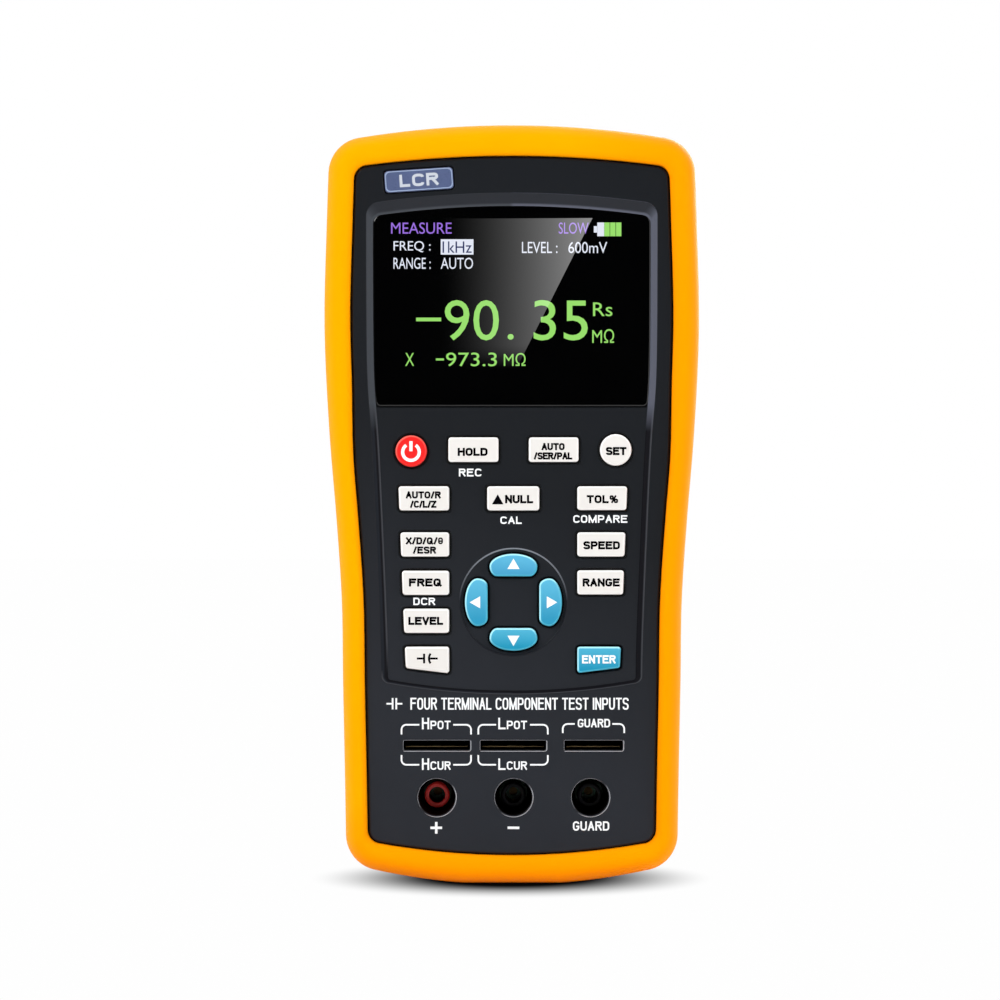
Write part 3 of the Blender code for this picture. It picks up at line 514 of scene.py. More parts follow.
def moulded(name, colour, roughness, grain=0.35, depth=0.012, mottle=0.05, edge=0.12, painted_edge_light=1.25,
            metallic=0.0, coat=0.0, shine=0.5, gloss=(1.0, 1.0, 1.0), rim=None, glow=0.0, change=None):
    """Moulded plastic or rubber: fine grain, faint mottling, softened edges that catch the light, and
    painted light along the edges.

    Change alters the colour over the piece. Rim is a painted highlight round a key's edge, from its lower
    to its upper colour as the edge turns to face up: what is sunk in the panel is then painted black as
    shade.
    """
    nodes = new_material(name)
    body = nodes.blend(nodes.noise(9.0, 3.0), tint(colour, 1 - mottle), tint(colour, 1 + mottle))
    soft, near = nodes.edges(edge)
    # Painted edge highlight; a factor below 1 paints the edges dark as shade instead
    body = nodes.blend(near, body, tint(colour, painted_edge_light))
    if change:
        body = change(nodes, body)
    if rim:
        # Painted highlight round the key's edge, paler where the edge faces up
        turned_away = nodes.fall(nodes.facing((0, -1, 0)), 0.90, 0.998)
        upwards = nodes.rise(nodes.facing((-0.5, 0, 0.86)), -0.2, 0.4)
        body = nodes.blend(turned_away, body, nodes.blend(upwards, *rim))
        # Painted shade: what is sunk below the panel floor is painted black
        sunk_shade = nodes.rise(nodes.along("Y"), (FLOOR_Y + 0.1) * MM, (FLOOR_Y + 0.5) * MM)
        body = nodes.blend(sunk_shade, body, (0.003, 0.003, 0.004))
    grains = nodes.noise(grain, 3.0)
    # A glow above 0 makes the piece give off its own colour, a painted glow
    return nodes.surface(Base_Color=body, Normal=nodes.bump(grains, depth, Normal=soft),
                         Roughness=nodes.between(grains, roughness - 0.06, roughness + 0.06),
                         Metallic=metallic, Specular_IOR_Level=shine, Specular_Tint=gloss,
                         Coat_Weight=coat, Coat_Roughness=0.2,
                         Emission_Color=colour, Emission_Strength=glow)


def pad_rim_painted_highlight(nodes, body):
    """Rim with a painted highlight round its top."""
    return nodes.blend(nodes.rise(nodes.along("Z"), 0.070, 0.0835), body, (0.19, 0.205, 0.235))


def hole_rim_painted_highlight(nodes, body):
    """Rim with a painted highlight on its slopes to the lower right."""
    return nodes.blend(nodes.rise(nodes.facing((0.7, 0, -0.7)), 0.04, 0.3), body, (0.36, 0.37, 0.40))


def holster_shade(nodes, body):
    """Yellow with painted shade: it deepens to orange on the right and at the foot."""
    right = nodes.rise(nodes.along("X"), 0.012, 0.040)
    foot = nodes.fall(nodes.along("Z"), 0.003, 0.020)
    return nodes.blend(nodes.sum_of("MAXIMUM", right, foot), body, (1.0, 0.296, 0.0))


def panel_shade(nodes, body):
    """Grey with painted shade: darker towards the top, and a little to the right."""
    slant = nodes.sum_of("ADD", nodes.product(nodes.along("X"), 0.5), nodes.along("Z"))
    return nodes.blend(nodes.rise(slant, 0.03, 0.10), body, (0.0038, 0.0052, 0.0076))


def pad_shade(nodes, body):
    """Blue with painted light and shade: deeper on the lower keys and paler towards the top of each."""
    body = nodes.blend(nodes.rise(nodes.along("Z"), 0.059, 0.080), body, (0.06, 0.30, 0.50))
    top = nodes.between(nodes.along("Z", "Generated"), 0.0, 0.4, 0.2, 1.0)
    return nodes.blend(top, body, (0.17, 0.62, 0.82))


def leaf_tip(nodes, body):
    """Leaf painted dark as shade behind its front edge, which keeps a brighter brass colour."""
    return nodes.blend(nodes.rise(nodes.facing((0, -1, 0)), 0.8, 0.95), body, (0.3, 0.2, 0.09))


def bay_walls(nodes, body):
    """Bay wall with painted light and shade: dark with painted light edges round the keys, and lighter
    beside the window, most on the right, darker where it faces down.
    """
    deep, height = nodes.along("Y"), nodes.along("Z")
    right = nodes.rise(nodes.along("X"), -0.0005, 0.0005)
    left = nodes.fall(right, 0.0, 1.0)
    foot = nodes.fall(height, 0.0510, 0.0530)
    above = nodes.rise(height, 0.0520, 0.0600)
    middle = (FACE_Y + FLOOR_Y) / 2
    shoulder = nodes.fall(deep, (middle - 0.1) * MM, (middle + 0.1) * MM)
    outer = nodes.fall(deep, (FACE_Y + 0.15) * MM, (FACE_Y + 0.3) * MM)
    inner = nodes.rise(deep, (FLOOR_Y - 0.22) * MM, (FLOOR_Y - 0.1) * MM)
    outer = nodes.product(outer, nodes.sum_of("MAXIMUM", right, foot))
    inner = nodes.product(inner, left, above)
    # Painted light: a paler front half of the slope on the left, and light lines along its crest and foot
    body = nodes.blend(nodes.product(shoulder, left), body, (0.0125, 0.0145, 0.0195))
    body = nodes.blend(nodes.sum_of("MAXIMUM", outer, inner), body, (0.045, 0.047, 0.054))
    # Painted light beside the window: lighter on the right flank, with painted shade where the wall faces
    # down
    flank = nodes.blend(right, (0.048, 0.053, 0.062), (0.086, 0.092, 0.120))
    flank = nodes.blend(nodes.rise(nodes.facing((0, 0, -1)), 0.10, 0.27), flank, (0.022, 0.024, 0.029))
    return nodes.blend(nodes.rise(height, 0.112, 0.119), body, flank)


def polished(name):
    """Black acrylic with a mirror polish and a very faint unevenness in tone."""
    nodes = new_material(name)
    tone = nodes.blend(nodes.noise(14.0, 4.0), (0.0004, 0.0004, 0.0005), (0.0008, 0.0009, 0.0010))
    return nodes.surface(Base_Color=tone, IOR=1.49, Roughness=0.0)


def metal(name, colour, roughness):
    """Turned or stamped metal with fine streaks and a little tarnish."""
    nodes = new_material(name)
    streaks = nodes.noise(0.6, 5.0)
    return nodes.surface(Base_Color=nodes.blend(streaks, tint(colour, 0.75), colour), Metallic=1.0,
                         Roughness=nodes.between(streaks, roughness + 0.12, roughness - 0.05),
                         Normal=nodes.bump(streaks, 0.004))


def ink(name, colour, roughness=0.5, shine=0.5):
    """Printed legend: even colour with the slight unevenness of screen printing."""
    nodes = new_material(name)
    return nodes.surface(Base_Color=nodes.blend(nodes.noise(0.5), tint(colour, 0.9), colour),
                         Roughness=roughness, Specular_IOR_Level=shine)


def lit(name, colour):
    """Lit screen graphics with a faint grid of pixels, under the window's polish."""
    nodes = new_material(name)
    grid = nodes.add("ShaderNodeTexVoronoi", nodes.place, distance="CHEBYCHEV", Scale=1.0 / (0.18 * MM),
                     Randomness=0.0)
    cell = nodes.between(grid.outputs["Distance"], 1.0, 0.6, 0.38, 0.5)
    return nodes.surface(Base_Color=(0.0, 0.0, 0.0), IOR=1.49, Roughness=0.0, Emission_Strength=1.0,
                         Emission_Color=nodes.blend(cell, tint(colour, 0.6), colour))


def board(name):
    """Solder-resist green with tracks and plated vias."""
    nodes = new_material(name)
    tracks = nodes.add("ShaderNodeTexBrick", nodes.place, Color1=(0.01, 0.11, 0.04),
                       Color2=(0.012, 0.14, 0.05), Mortar=(0.03, 0.22, 0.08), Scale=1.0 / (6.0 * MM),
                       Mortar_Size=0.03)
    return nodes.surface(Base_Color=tracks.outputs["Color"], Roughness=0.35,
                         Normal=nodes.bump(tracks.outputs["Fac"], 0.03))


LOOKS = {
    "holster_yellow": moulded("holster_rubber", (1.0, 0.352, 0.0), 0.55, grain=0.45, depth=0.02,
                              mottle=0.02, edge=0.5, painted_edge_light=1.0, shine=0.15, gloss=(1.0, 0.4, 0.0),
                              change=holster_shade),
    "case_grey": moulded("case_plastic", (0.0085, 0.0098, 0.0155), 0.4, grain=0.30, depth=0.015,
                         mottle=0.10, edge=0.15, painted_edge_light=2.0, shine=0.4),
    # Edges painted dark as shade round every hole and along the holster
    "panel_grey": moulded("panel_plastic", (0.0132, 0.0154, 0.0208), 0.4, grain=0.30, depth=0.015,
                          mottle=0.08, edge=0.3, painted_edge_light=0.1, shine=0.2, change=panel_shade),
    "bay_grey": moulded("bay_plastic", (0.0055, 0.0055, 0.0075), 0.6, grain=0.30, mottle=0.08,
                        edge=0.05, painted_edge_light=1.0, shine=0.04, change=bay_walls),
    "key_white": moulded("key_white", (0.68, 0.66, 0.635), 0.42, grain=0.25, depth=0.006, mottle=0.02,
                         painted_edge_light=1.2, shine=0.4, rim=((0.84, 0.82, 0.80), (0.97, 0.96, 0.95))),
    "key_blue": moulded("key_blue", (0.010, 0.245, 0.40), 0.40, grain=0.25, depth=0.006, mottle=0.06,
                        painted_edge_light=1.5, shine=0.12, rim=((0.07, 0.42, 0.58), (0.42, 0.86, 0.97)),
                        change=pad_shade),
    "key_red": moulded("key_red", (0.88, 0.009, 0.008), 0.36, grain=0.25, depth=0.006, mottle=0.03,
                       painted_edge_light=1.1, shine=0.3, rim=((0.80, 0.02, 0.015), (0.95, 0.13, 0.10))),
    # Faint painted glow so the red ring shows deep in its dark well
    "jack_red": moulded("jack_red", (1.0, 0.045, 0.04), 0.45, painted_edge_light=1.2, glow=0.03),
    "lead_red": moulded("lead_red", (0.6, 0.03, 0.03), 0.5),
    "black_plastic": moulded("black_plastic", (0.004, 0.004, 0.005), 0.45, painted_edge_light=1.4, shine=0.15),
    "well_black": moulded("well_plastic", (0.0045, 0.003, 0.0025), 0.6, painted_edge_light=1.0, shine=0.02),
    "white_plastic": moulded("white_plastic", (0.8, 0.8, 0.78), 0.45),
    "mat_grey": moulded("mat_silicone", (0.3, 0.31, 0.32), 0.6),
    "battery_blue": moulded("battery_sleeve", (0.03, 0.1, 0.4), 0.3, grain=1.5, coat=0.4),
    "flex_amber": moulded("flex_film", (0.5, 0.24, 0.04), 0.3, grain=1.0, coat=0.5),
    "badge_blue": moulded("badge_plate", (0.085, 0.115, 0.235), 0.32, grain=0.2, depth=0.003,
                          mottle=0.15, metallic=0.3),
    "window_black": polished("window_acrylic"),
    "screen": moulded("screen_black", (0.001, 0.001, 0.0012), 0.6, grain=0.2, depth=0.0, shine=0.0),
    "pad_rim": moulded("pad_rim", (0.009, 0.010, 0.014), 0.5, shine=0.1, painted_edge_light=1.0,
                       change=pad_rim_painted_highlight),
    "hole_rim": moulded("hole_rim", (0.022, 0.024, 0.029), 0.5, shine=0.1, painted_edge_light=1.0,
                        change=hole_rim_painted_highlight),
    # Near-black base colour: painted shade deep in the slot
    "leaf_brass": moulded("leaf_brass", (0.05, 0.03, 0.014), 0.4, grain=0.6, mottle=0.2, edge=0.02,
                          painted_edge_light=1.0, shine=0.1, change=leaf_tip),
    "brass": metal("brass_plating", (0.78, 0.55, 0.24), 0.28),
    "steel": metal("zinc_steel", (0.58, 0.58, 0.6), 0.34),
    "socket_brass": metal("aged_brass", (0.20, 0.14, 0.06), 0.5),
    "board_green": board("solder_resist"),
}
WHITE_INK = ink("white_legend", (0.86, 0.88, 0.9))
DARK_INK = ink("dark_legend", (0.002, 0.002, 0.003), shine=0.0)
BADGE_INK = ink("badge_legend", (0.50, 0.54, 0.60), 0.35)
PALE_METAL = ink("pale_print", (0.27, 0.35, 0.52), 0.35)


# ---------------------------------------------------------------- mesh helpers

def level(loop, y):
    """Flat loop put at a depth."""
    return [(x, y, z) for x, z in loop]


def stack(loop, steps):
    """Copies of a loop at (depth, growth) steps."""
    return [level(grow(loop, growth), y) for y, growth in steps]


def sections(outline_for, steps):
    """Loops of an outline function at (value, depth) steps."""
    return [level(outline_for(value), y) for value, y in steps]


def fill_loft(bm, loops, ring=False):
    """Skin through loops with equal point counts: capped, or closed round on itself."""
    rows = [[bm.verts.new(point) for point in loop] for loop in loops]
    pairs = list(zip(rows, rows[1:]))
    if ring:
        pairs.append((rows[-1], rows[0]))
    for row, following in pairs:
        for i in range(len(row)):
            bm.faces.new((row[i - 1], row[i], following[i], following[i - 1]))
    if not ring:
        bm.faces.new(rows[0])
        bm.faces.new(rows[-1])


def to_mesh(name, bm):
    """Mesh of what is in a bmesh, which is freed."""
    mesh = bpy.data.meshes.new(name)
    bm.to_mesh(mesh)
    bm.free()
    return mesh


def in_metres(name, bm):
    """Mesh in metres, with its faces turned outwards."""
    bmesh.ops.recalc_face_normals(bm, faces=bm.faces)
    bmesh.ops.scale(bm, vec=(MM, MM, MM), verts=bm.verts)
    return to_mesh(name, bm)


def in_scene(name, data):
    """New object in the scene."""
    made = bpy.data.objects.new(name, data)
    bpy.context.scene.collection.objects.link(made)
    return made


def piece(name, mesh, look, body="meter", slot=None, stands_for=()):
    """Visible piece that rides on a body, shaded smooth except over its sharp edges."""
    made = in_scene(name, mesh)
    mesh.materials.clear()
    mesh.materials.append(look)
    mesh.shade_smooth()
    mesh.set_sharp_from_angle(angle=SHARP)
    flat = made.modifiers.new("flat_faces", "WEIGHTED_NORMAL")
    flat.keep_sharp = True
    flat.weight = 100
    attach(made, body)
    if stands_for:
        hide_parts(*stands_for)


def lofts(name, solids, ring=False):
    """Mesh of separate solids, each one a list of loops."""
    bm = bmesh.new()
    for loops in solids:
        fill_loft(bm, loops, ring)
    return in_metres(name, bm)


def carve(mesh, cutters):
    """Mesh with lists of solids cut away, by exact Booleans."""
    whole = in_scene("carving", mesh)
    tools = []
    for solids in cutters:
        tool = in_scene("cutter", lofts("cutter", solids))
        cut = whole.modifiers.new("cut", "BOOLEAN")
        cut.operation = "DIFFERENCE"
        cut.object = tool
        cut.solver = "EXACT"
        tools.append(tool)
    bpy.context.view_layer.update()
    seen = whole.evaluated_get(bpy.context.evaluated_depsgraph_get())
    carved = bpy.data.meshes.new_from_object(seen)
    for used in [whole] + tools:
        bpy.data.objects.remove(used, do_unlink=True)
    return carved


def turned(name, profile, x, z, steps=48):
    """Turned mesh on an axis along Y, closed round the (radius, y) profile."""
    bm = bmesh.new()
    rows = []
    for angle in spread(0, 2 * math.pi, steps):
        rows.append([(x + r * math.cos(angle), y, z + r * math.sin(angle)) for r, y in profile])
    fill_loft(bm, rows, ring=True)
    bmesh.ops.remove_doubles(bm, verts=bm.verts, dist=NEAR)
    return in_metres(name, bm)


# ---------------------------------------------------------------- legends

def lettering(words, x, z, width, height):
    """Flat mesh of some words, fitted to a width and a height."""
    curve = bpy.data.curves.new("words", "FONT")
    curve.body = words
    curve.resolution_u = 4
    holder = in_scene("words", curve)
    bpy.context.view_layer.update()
    mesh = bpy.data.meshes.new_from_object(holder.evaluated_get(bpy.context.evaluated_depsgraph_get()))
    bpy.data.objects.remove(holder, do_unlink=True)
    across = [v.co.x for v in mesh.vertices]
    up = [v.co.y for v in mesh.vertices]
    wide, tall = max(across) - min(across), max(up) - min(up)
    for vertex in mesh.vertices:
        vertex.co = (x + (vertex.co.x - (max(across) + min(across)) / 2) * width / wide, 0.0,
                     z + (vertex.co.y - (max(up) + min(up)) / 2) * height / tall)
    return mesh


def shape(loop):
    """Flat mesh of one loop."""
    mesh = bpy.data.meshes.new("shape")
    mesh.from_pydata([(x, 0.0, z) for x, z in loop], [], [list(range(len(loop)))])
    return mesh


def stroke(points, width, closed=False, square=(False, False)):
    """Flat mesh of a line with a width. A square start or end reaches half the width further."""
    least_cosine = 0.62
    points = [Vector(point) for point in points]
    if square[0]:
        points[0] += (points[0] - points[1]).normalized() * width / 2
    if square[1]:
        points[-1] += (points[-1] - points[-2]).normalized() * width / 2
    count = len(points)
    sides = ([], [])
    for i, point in enumerate(points):
        before = (point - points[i - 1]).normalized() if i or closed else None
        after = (points[(i + 1) % count] - point).normalized() if i + 1 < count or closed else None
        along = ((before or after) + (after or before)).normalized()
        reach = width / 2 / max(along.dot(after or before), least_cosine)
        normal = Vector((-along.y, along.x)) * reach
        sides[0].append(point + normal)
        sides[1].append(point - normal)
    bm = bmesh.new()
    rows = [[bm.verts.new((p.x, 0.0, p.y)) for p in side] for side in sides]
    for i in range(count if closed else count - 1):
        k = (i + 1) % count
        bm.faces.new((rows[0][i], rows[0][k], rows[1][k], rows[1][i]))
    return to_mesh("stroke", bm)


def straight(x0, z0, x1, z1, width):
    """Flat mesh of a straight line."""
    return stroke([(x0, z0), (x1, z1)], width)


# Capitals on a grid 9 high: digits are x and z. A letter after them rounds the corner, - ends a
# line without a square end, * closes it, and | starts another line.
GLYPHS = {
    "A": "00 39 60|13 53",
    "C": "67- 69o 09o 00o 60o 62-",
    "D": "00 09 69o 60o*",
    "E": "60 00 09 69|05 55",
    "F": "00 09 69|05 55",
    "G": "67- 69o 09o 00o 60o 64 34-",
    "H": "00 09|60 69|05 65",
    "I": "00 09",
    "L": "09 00 50",
    "M": "00 09 40 89 80",
    "N": "00 09 60 69",
    "O": "00o 09o 69o 60o*",
    "P": "00 09 69r 64r 04",
    "Q": "00o 09o 69o 60o*|43 70",
    "R": "00 09 69r 65r 05|35 60",
    "S": "67- 69r 09r 05r 64r 60r 00r 02-",
    "T": "09 69|39 30",
    "U": "09 00o 60o 69",
    "V": "09 30 69",
    "X": "00 69|09 60",
    "Z": "09 69 00 60",
    "/": "00 39",
    "%": "20 69|05i 09i 39i 35i*|50i 54i 84i 80i*",
    "θ": "00o 09o 59o 50o*|14 44",
}
ROUNDING = {"o": 3.0, "r": 2.2, "i": 1.0}
LETTER_GAP = 3.3
WORD_GAP = 4.5
CAP_HEIGHT = 9.0
DENSE = "%θ"
DENSE_WEIGHT = 0.82
SHARP_BEND = 0.3


def bend(points, closed):
    """Path through points, rounding those that have a radius."""
    path = []
    count = len(points)
    for i, (x, z, radius) in enumerate(points):
        corner = Vector((x, z))
        if not radius or (not closed and i in (0, count - 1)):
            path.append(corner)
            continue
        arms = []
        for k in ((i - 1) % count, (i + 1) % count):
            arm = Vector(points[k][:2]) - corner
            share = 0.5 if points[k][2] else 1.0
            arms.append(arm.normalized() * min(radius, arm.length * share))
        for t in spread(0.0, 1.0, 6) + [1.0]:
            path.append(corner + arms[0] * (1 - t) ** 2 + arms[1] * t * t)
    clean = [path[0]]
    for point in path[1:]:
        if (point - clean[-1]).length > NEAR:
            clean.append(point)
    if closed and (clean[-1] - clean[0]).length < NEAR:
        clean.pop()
    return clean


def runs(path):
    """Path split into pieces at its sharp corners."""
    parts = [[path[0]]]
    for i in range(1, len(path) - 1):
        parts[-1].append(path[i])
        before, after = path[i] - path[i - 1], path[i + 1] - path[i]
        if before.normalized().dot(after.normalized()) < SHARP_BEND:
            parts.append([path[i]])
    parts[-1].append(path[-1])
    return parts


def letter_strokes(letter, cursor, weight):
    """Strokes of one letter on the grid, as (path, width, closed, square ends), and its right edge."""
    thick = weight * (DENSE_WEIGHT if letter in DENSE else 1.0)
    strokes = []
    far = 0.0
    for code in GLYPHS[letter].split("|"):
        closed = code.endswith("*")
        tokens = code.rstrip("*").split()
        points = [(cursor + int(token[0]), float(token[1]), ROUNDING.get(token[2:], 0.0))
                  for token in tokens]
        far = max([far] + [point[0] for point in points])
        path = bend(points, closed)
        parts = [path] if closed else runs(path)
        last = len(parts) - 1
        for i, part in enumerate(parts):
            square = (i > 0 or "-" not in tokens[0], i < last or "-" not in tokens[-1])
            strokes.append((part, thick, closed, (False, False) if closed else square))
    return strokes, far


def word(text, x, z, width, height, weight=0.44, tilt=0.0):
    """Flat strokes of some capitals, fitted to a width and a height about a centre."""
    cursor = 0.0
    strokes = []
    for letter in text:
        if letter == " ":
            cursor += WORD_GAP
            continue
        more, far = letter_strokes(letter, cursor, weight)
        strokes += more
        cursor = far + LETTER_GAP
    across = (width - weight) / far
    up = (height - weight) / CAP_HEIGHT
    turn = Matrix.Rotation(tilt, 2)
    marks = []
    for path, thick, closed, square in strokes:
        flat = [turn @ Vector(((p.x - far / 2) * across, (p.y - CAP_HEIGHT / 2) * up)) for p in path]
        marks.append(stroke([(x + p.x, z + p.y) for p in flat], thick, closed, square))
    return marks


def printed(name, marks, y, look, body="meter"):
    """One thin printed piece from flat marks, standing proud of a surface at depth y.

    Marks that follow each other differ slightly in height, so where they cross one is on top.
    """
    whole = bmesh.new()
    for order, mark in enumerate(marks):
        top = y - INK - LAYER * (order % 4)
        bm = bmesh.new()
        bm.from_mesh(mark)
        bpy.data.meshes.remove(mark)
        bmesh.ops.remove_doubles(bm, verts=bm.verts, dist=NEAR_IN_PRINT)
        bmesh.ops.recalc_face_normals(bm, faces=bm.faces)
        grown = bmesh.ops.extrude_face_region(bm, geom=bm.faces[:])
        front = {element for element in grown["geom"] if isinstance(element, bmesh.types.BMVert)}
        for vert in bm.verts:
            vert.co.y = top if vert in front else y
        bmesh.ops.recalc_face_normals(bm, faces=bm.faces)
        part = to_mesh("part", bm)
        whole.from_mesh(part)
        bpy.data.meshes.remove(part)
    piece(name, in_metres(name, whole), look, body)


def arc_points(x, z, radius, start, end, steps=24):
    """Points along an arc, angles in degrees anticlockwise from +X."""
    return [(x + radius * math.cos(math.radians(a)), z + radius * math.sin(math.radians(a)))
            for a in spread(start, end, steps) + [end]]


# ---------------------------------------------------------------- pieces

def holster():
    """Soft surround with a full round rim, a thin lip over the panel and a faint mould line."""
    front_round, front_depth = 3.8, 6.0
    back_round, back_depth = 4.0, 5.0
    lip_edge = 1.2
    mould_line = ((0.0, 0.35), (-0.07, 0.0), (0.0, -0.35))
    turn = quarter(8)
    crest, lip = body_loop(front_round), opening_loop(0.0)
    rings = sections(body_loop, [(front_round * (1 - c), front_depth * (1 - s) - HALF_DEPTH)
                                 for c, s in turn])
    rings += [level(mix(crest, lip, s), (LIP_FRONT + HALF_DEPTH) * (1 - c) - HALF_DEPTH)
              for c, s in turn[1:]]
    rings.append(level(lip, LIP_INNER))
    rings += sections(body_loop, ((HOLSTER_WALL, LIP_INNER), (HOLSTER_WALL, REAR_LIP_INNER),
                                  (REAR_RIM, REAR_LIP_INNER)))
    rings += sections(body_loop, [(REAR_RIM - lip_edge * s, HALF_DEPTH - lip_edge * c)
                                  for c, s in turn[::2]])
    rings += sections(body_loop, [(back_round * (1 - c), HALF_DEPTH - back_depth * (1 - s))
                                  for c, s in reversed(turn)])
    rings += sections(body_loop, mould_line)
    piece("holster_skin", lofts("holster_skin", [rings], ring=True), LOOKS["holster_yellow"],
          slot="holster_yellow", stands_for=["holster"])


def panel_holes():
    """Cutters for the keys, slots, jacks and screen, with soft edges."""
    through = PANEL_BACK_Y + 1.0
    soft = ((-0.6, 0.42), (-0.01, 0.3), (0.06, 0.22), (0.2, 0.2))
    steps = [(FLOOR_Y + y, GAP + growth) for y, growth in soft] + [(through, GAP + 0.2)]
    holes = [stack(loop, steps) for loop, _ in KEYS.values()]
    openings = [slot_loop(label) for label in SLOTS]
    openings += [circle(x, JACK_Z, JACK_HOLE, 64) for x in JACKS.values()]
    steps = [(FACE_Y - 0.6, 0.9), (FACE_Y - 0.01, 0.6), (FACE_Y + 0.12, 0.28), (FACE_Y + 0.45, 0.0),
             (through, 0.0)]
    holes += [stack(loop, steps) for loop in openings]
    width, height = [size + 2.4 for size in SCREEN_SIZE]
    aperture = rectangle(*SCREEN_CENTRE, width, height, 0.8)
    return holes + [stack(aperture, ((WINDOW_BACK_Y - 0.5, 0.0), (through, 0.0)))]


def front_panel():
    """Front half of the case with soft edges on every hole."""
    wall = HOLSTER_WALL + GAP
    soft = 0.55
    shell = sections(opening_loop, [(GAP + 0.6 - soft * s, FACE_Y + soft * (1 - c))
                                    for c, s in quarter(4)])
    shell += sections(opening_loop, [(GAP + 0.05, PANEL_BACK_Y)])
    shell += sections(body_loop, ((wall, PANEL_BACK_Y), (wall, -SPLIT_Y), (wall + SHELL_WALL, -SPLIT_Y),
                                  (wall + SHELL_WALL, SHOULDER_Y)))
    shell += sections(opening_loop, ((SHELL_WALL, SHOULDER_Y), (SHELL_WALL, PANEL_BACK_Y)))
    bay = sections(bay_loop, ((-0.5, FACE_Y - 0.6), (-0.05, FACE_Y - 0.02), (0.12, FACE_Y + 0.2),
                              (0.92, FLOOR_Y - 0.12), (1.0, FLOOR_Y)))
    pocket = sections(window_loop, ((0.0, FLOOR_Y - 0.5), (0.0, WINDOW_BACK_Y + GAP)))
    dish = stack(circle(*PAD_CENTRE, PAD_DISH_RADIUS, 96),
                 ((FLOOR_Y - 0.3, 0.3), (FLOOR_Y, 0.0), (FLOOR_Y + 0.28, -0.35), (FLOOR_Y + 0.4, -1.6)))
    badge = sections(badge_loop, ((GAP + 0.3, FACE_Y - 0.3), (GAP, FACE_Y + 0.15), (GAP, FACE_Y + 1.0)))
    carved = carve(lofts("front_panel", [shell]), [[bay], [pocket, dish, badge], panel_holes()])
    piece("front_panel", carved, LOOKS["panel_grey"], slot="case_grey", stands_for=["front_case"])


def bay_wall():
    """Sloping wall of the bay with a fine bead along its foot."""
    rings = sections(bay_loop, ((-0.06, FACE_Y + 0.15), (0.0, FACE_Y - 0.03), (0.12, FACE_Y + 0.12),
                                (0.86, FLOOR_Y - 0.18), (1.0, FLOOR_Y - 0.1), (1.15, FLOOR_Y - 0.08),
                                (1.18, FLOOR_Y + 0.1), (0.5, FLOOR_Y + 0.2)))
    piece("bay_wall", lofts("bay_wall", [rings], ring=True), LOOKS["bay_grey"])


def display():
    """Polished black window and what the screen shows in it."""
    edge = ((WINDOW_FRONT_Y, -0.35), (WINDOW_FRONT_Y + 0.1, -0.1), (WINDOW_FRONT_Y + 0.3, 0.0),
            (WINDOW_BACK_Y, 0.0))
    piece("window_glass", lofts("window_glass", [stack(window_loop(GAP), edge)]), LOOKS["window_black"],
          slot="window_black", stands_for=["display_window"])
    screen_graphics()


def screen_graphics():
    """Lit words and numbers of a measurement, in the screen's own colours."""
    y = WINDOW_FRONT_Y
    white = lit("lit_white", (0.80, 0.84, 0.95))
    printed("screen_titles", [
        lettering("MEASURE", -22.4, 162.3, 15.0, 2.8),
        lettering("SLOW", 15.3, 162.3, 7.4, 2.8),
    ], y, lit("lit_violet", (0.33, 0.17, 0.75)))
    printed("screen_settings", [
        lettering("FREQ :", -24.7, 157.7, 9.2, 2.8),
        lettering("LEVEL :", 6.9, 157.5, 8.8, 2.8),
        lettering("600mV", 18.8, 157.5, 9.6, 2.8),
        lettering("RANGE :", -24.7, 153.6, 9.2, 2.8),
        lettering("AUTO", -13.6, 153.6, 8.0, 2.8),
        shape(rectangle(-13.55, 157.65, 8.1, 3.8)),
        shape(rectangle(22.0, 162.0, 1.7, 3.4)),
        shape(rectangle(20.7, 162.0, 0.8, 1.6)),
    ], y, white)
    printed("screen_frequency", [lettering("1kHz", -13.55, 157.6, 7.2, 2.8)], y - 0.03,
            lit("lit_blue", (0.02, 0.03, 0.12)))
    printed("screen_reading", [
        lettering("-", -20.6, 139.7, 6.2, 0.9),
        lettering("90", -9.9, 139.5, 13.4, 10.0),
        lettering(".", -0.3, 135.4, 1.5, 1.4),
        lettering("35", 12.1, 139.5, 13.4, 10.0),
        lettering("Rs", 22.5, 142.2, 4.8, 3.4),
        lettering("MΩ", 22.6, 135.6, 5.4, 3.4),
        lettering("X", -25.3, 129.8, 2.2, 3.2),
        lettering("-", -17.8, 129.8, 2.0, 0.5),
        lettering("973.3", -10.0, 129.8, 12.6, 3.4),
        lettering("MΩ", 0.7, 129.8, 5.4, 3.2),
        *(shape(rectangle(x, 162.0, 1.32, 3.4)) for x in (23.55, 25.0, 26.45)),
    ], y, lit("lit_green", (0.33, 0.76, 0.16)))


def key_caps():
    """Key caps with rounded edges."""
    flange_front = PANEL_BACK_Y + GAP
    round_edge = 0.55
    for name, (loop, slot) in KEYS.items():
        steps = [(flange_front + 1.0, 0.6), (flange_front, 0.6), (flange_front, 0.0)]
        steps += [(KEY_TOP_Y + round_edge * (1 - s), -round_edge * (1 - c)) for c, s in quarter(4)]
        piece(name + "_cap", lofts(name, [stack(loop, steps)]), LOOKS[slot], body=name, slot=slot,
              stands_for=[name])


def two_lines(x, z, upper, lower):
    """Two short words, one above the other, as (words, width)."""
    apart, height, weight = 2.3, 1.76, 0.455
    return (word(upper[0], x, z + apart / 2, upper[1], height, weight)
            + word(lower[0], x, z - apart / 2, lower[1], height, weight))


def triangle(x, z, size, turn=0.0):
    """Small equilateral pointer."""
    return shape([(x + size * math.cos(a + turn), z + size * math.sin(a + turn))
                  for a in (math.pi / 2, math.pi * 7 / 6, math.pi * 11 / 6)])


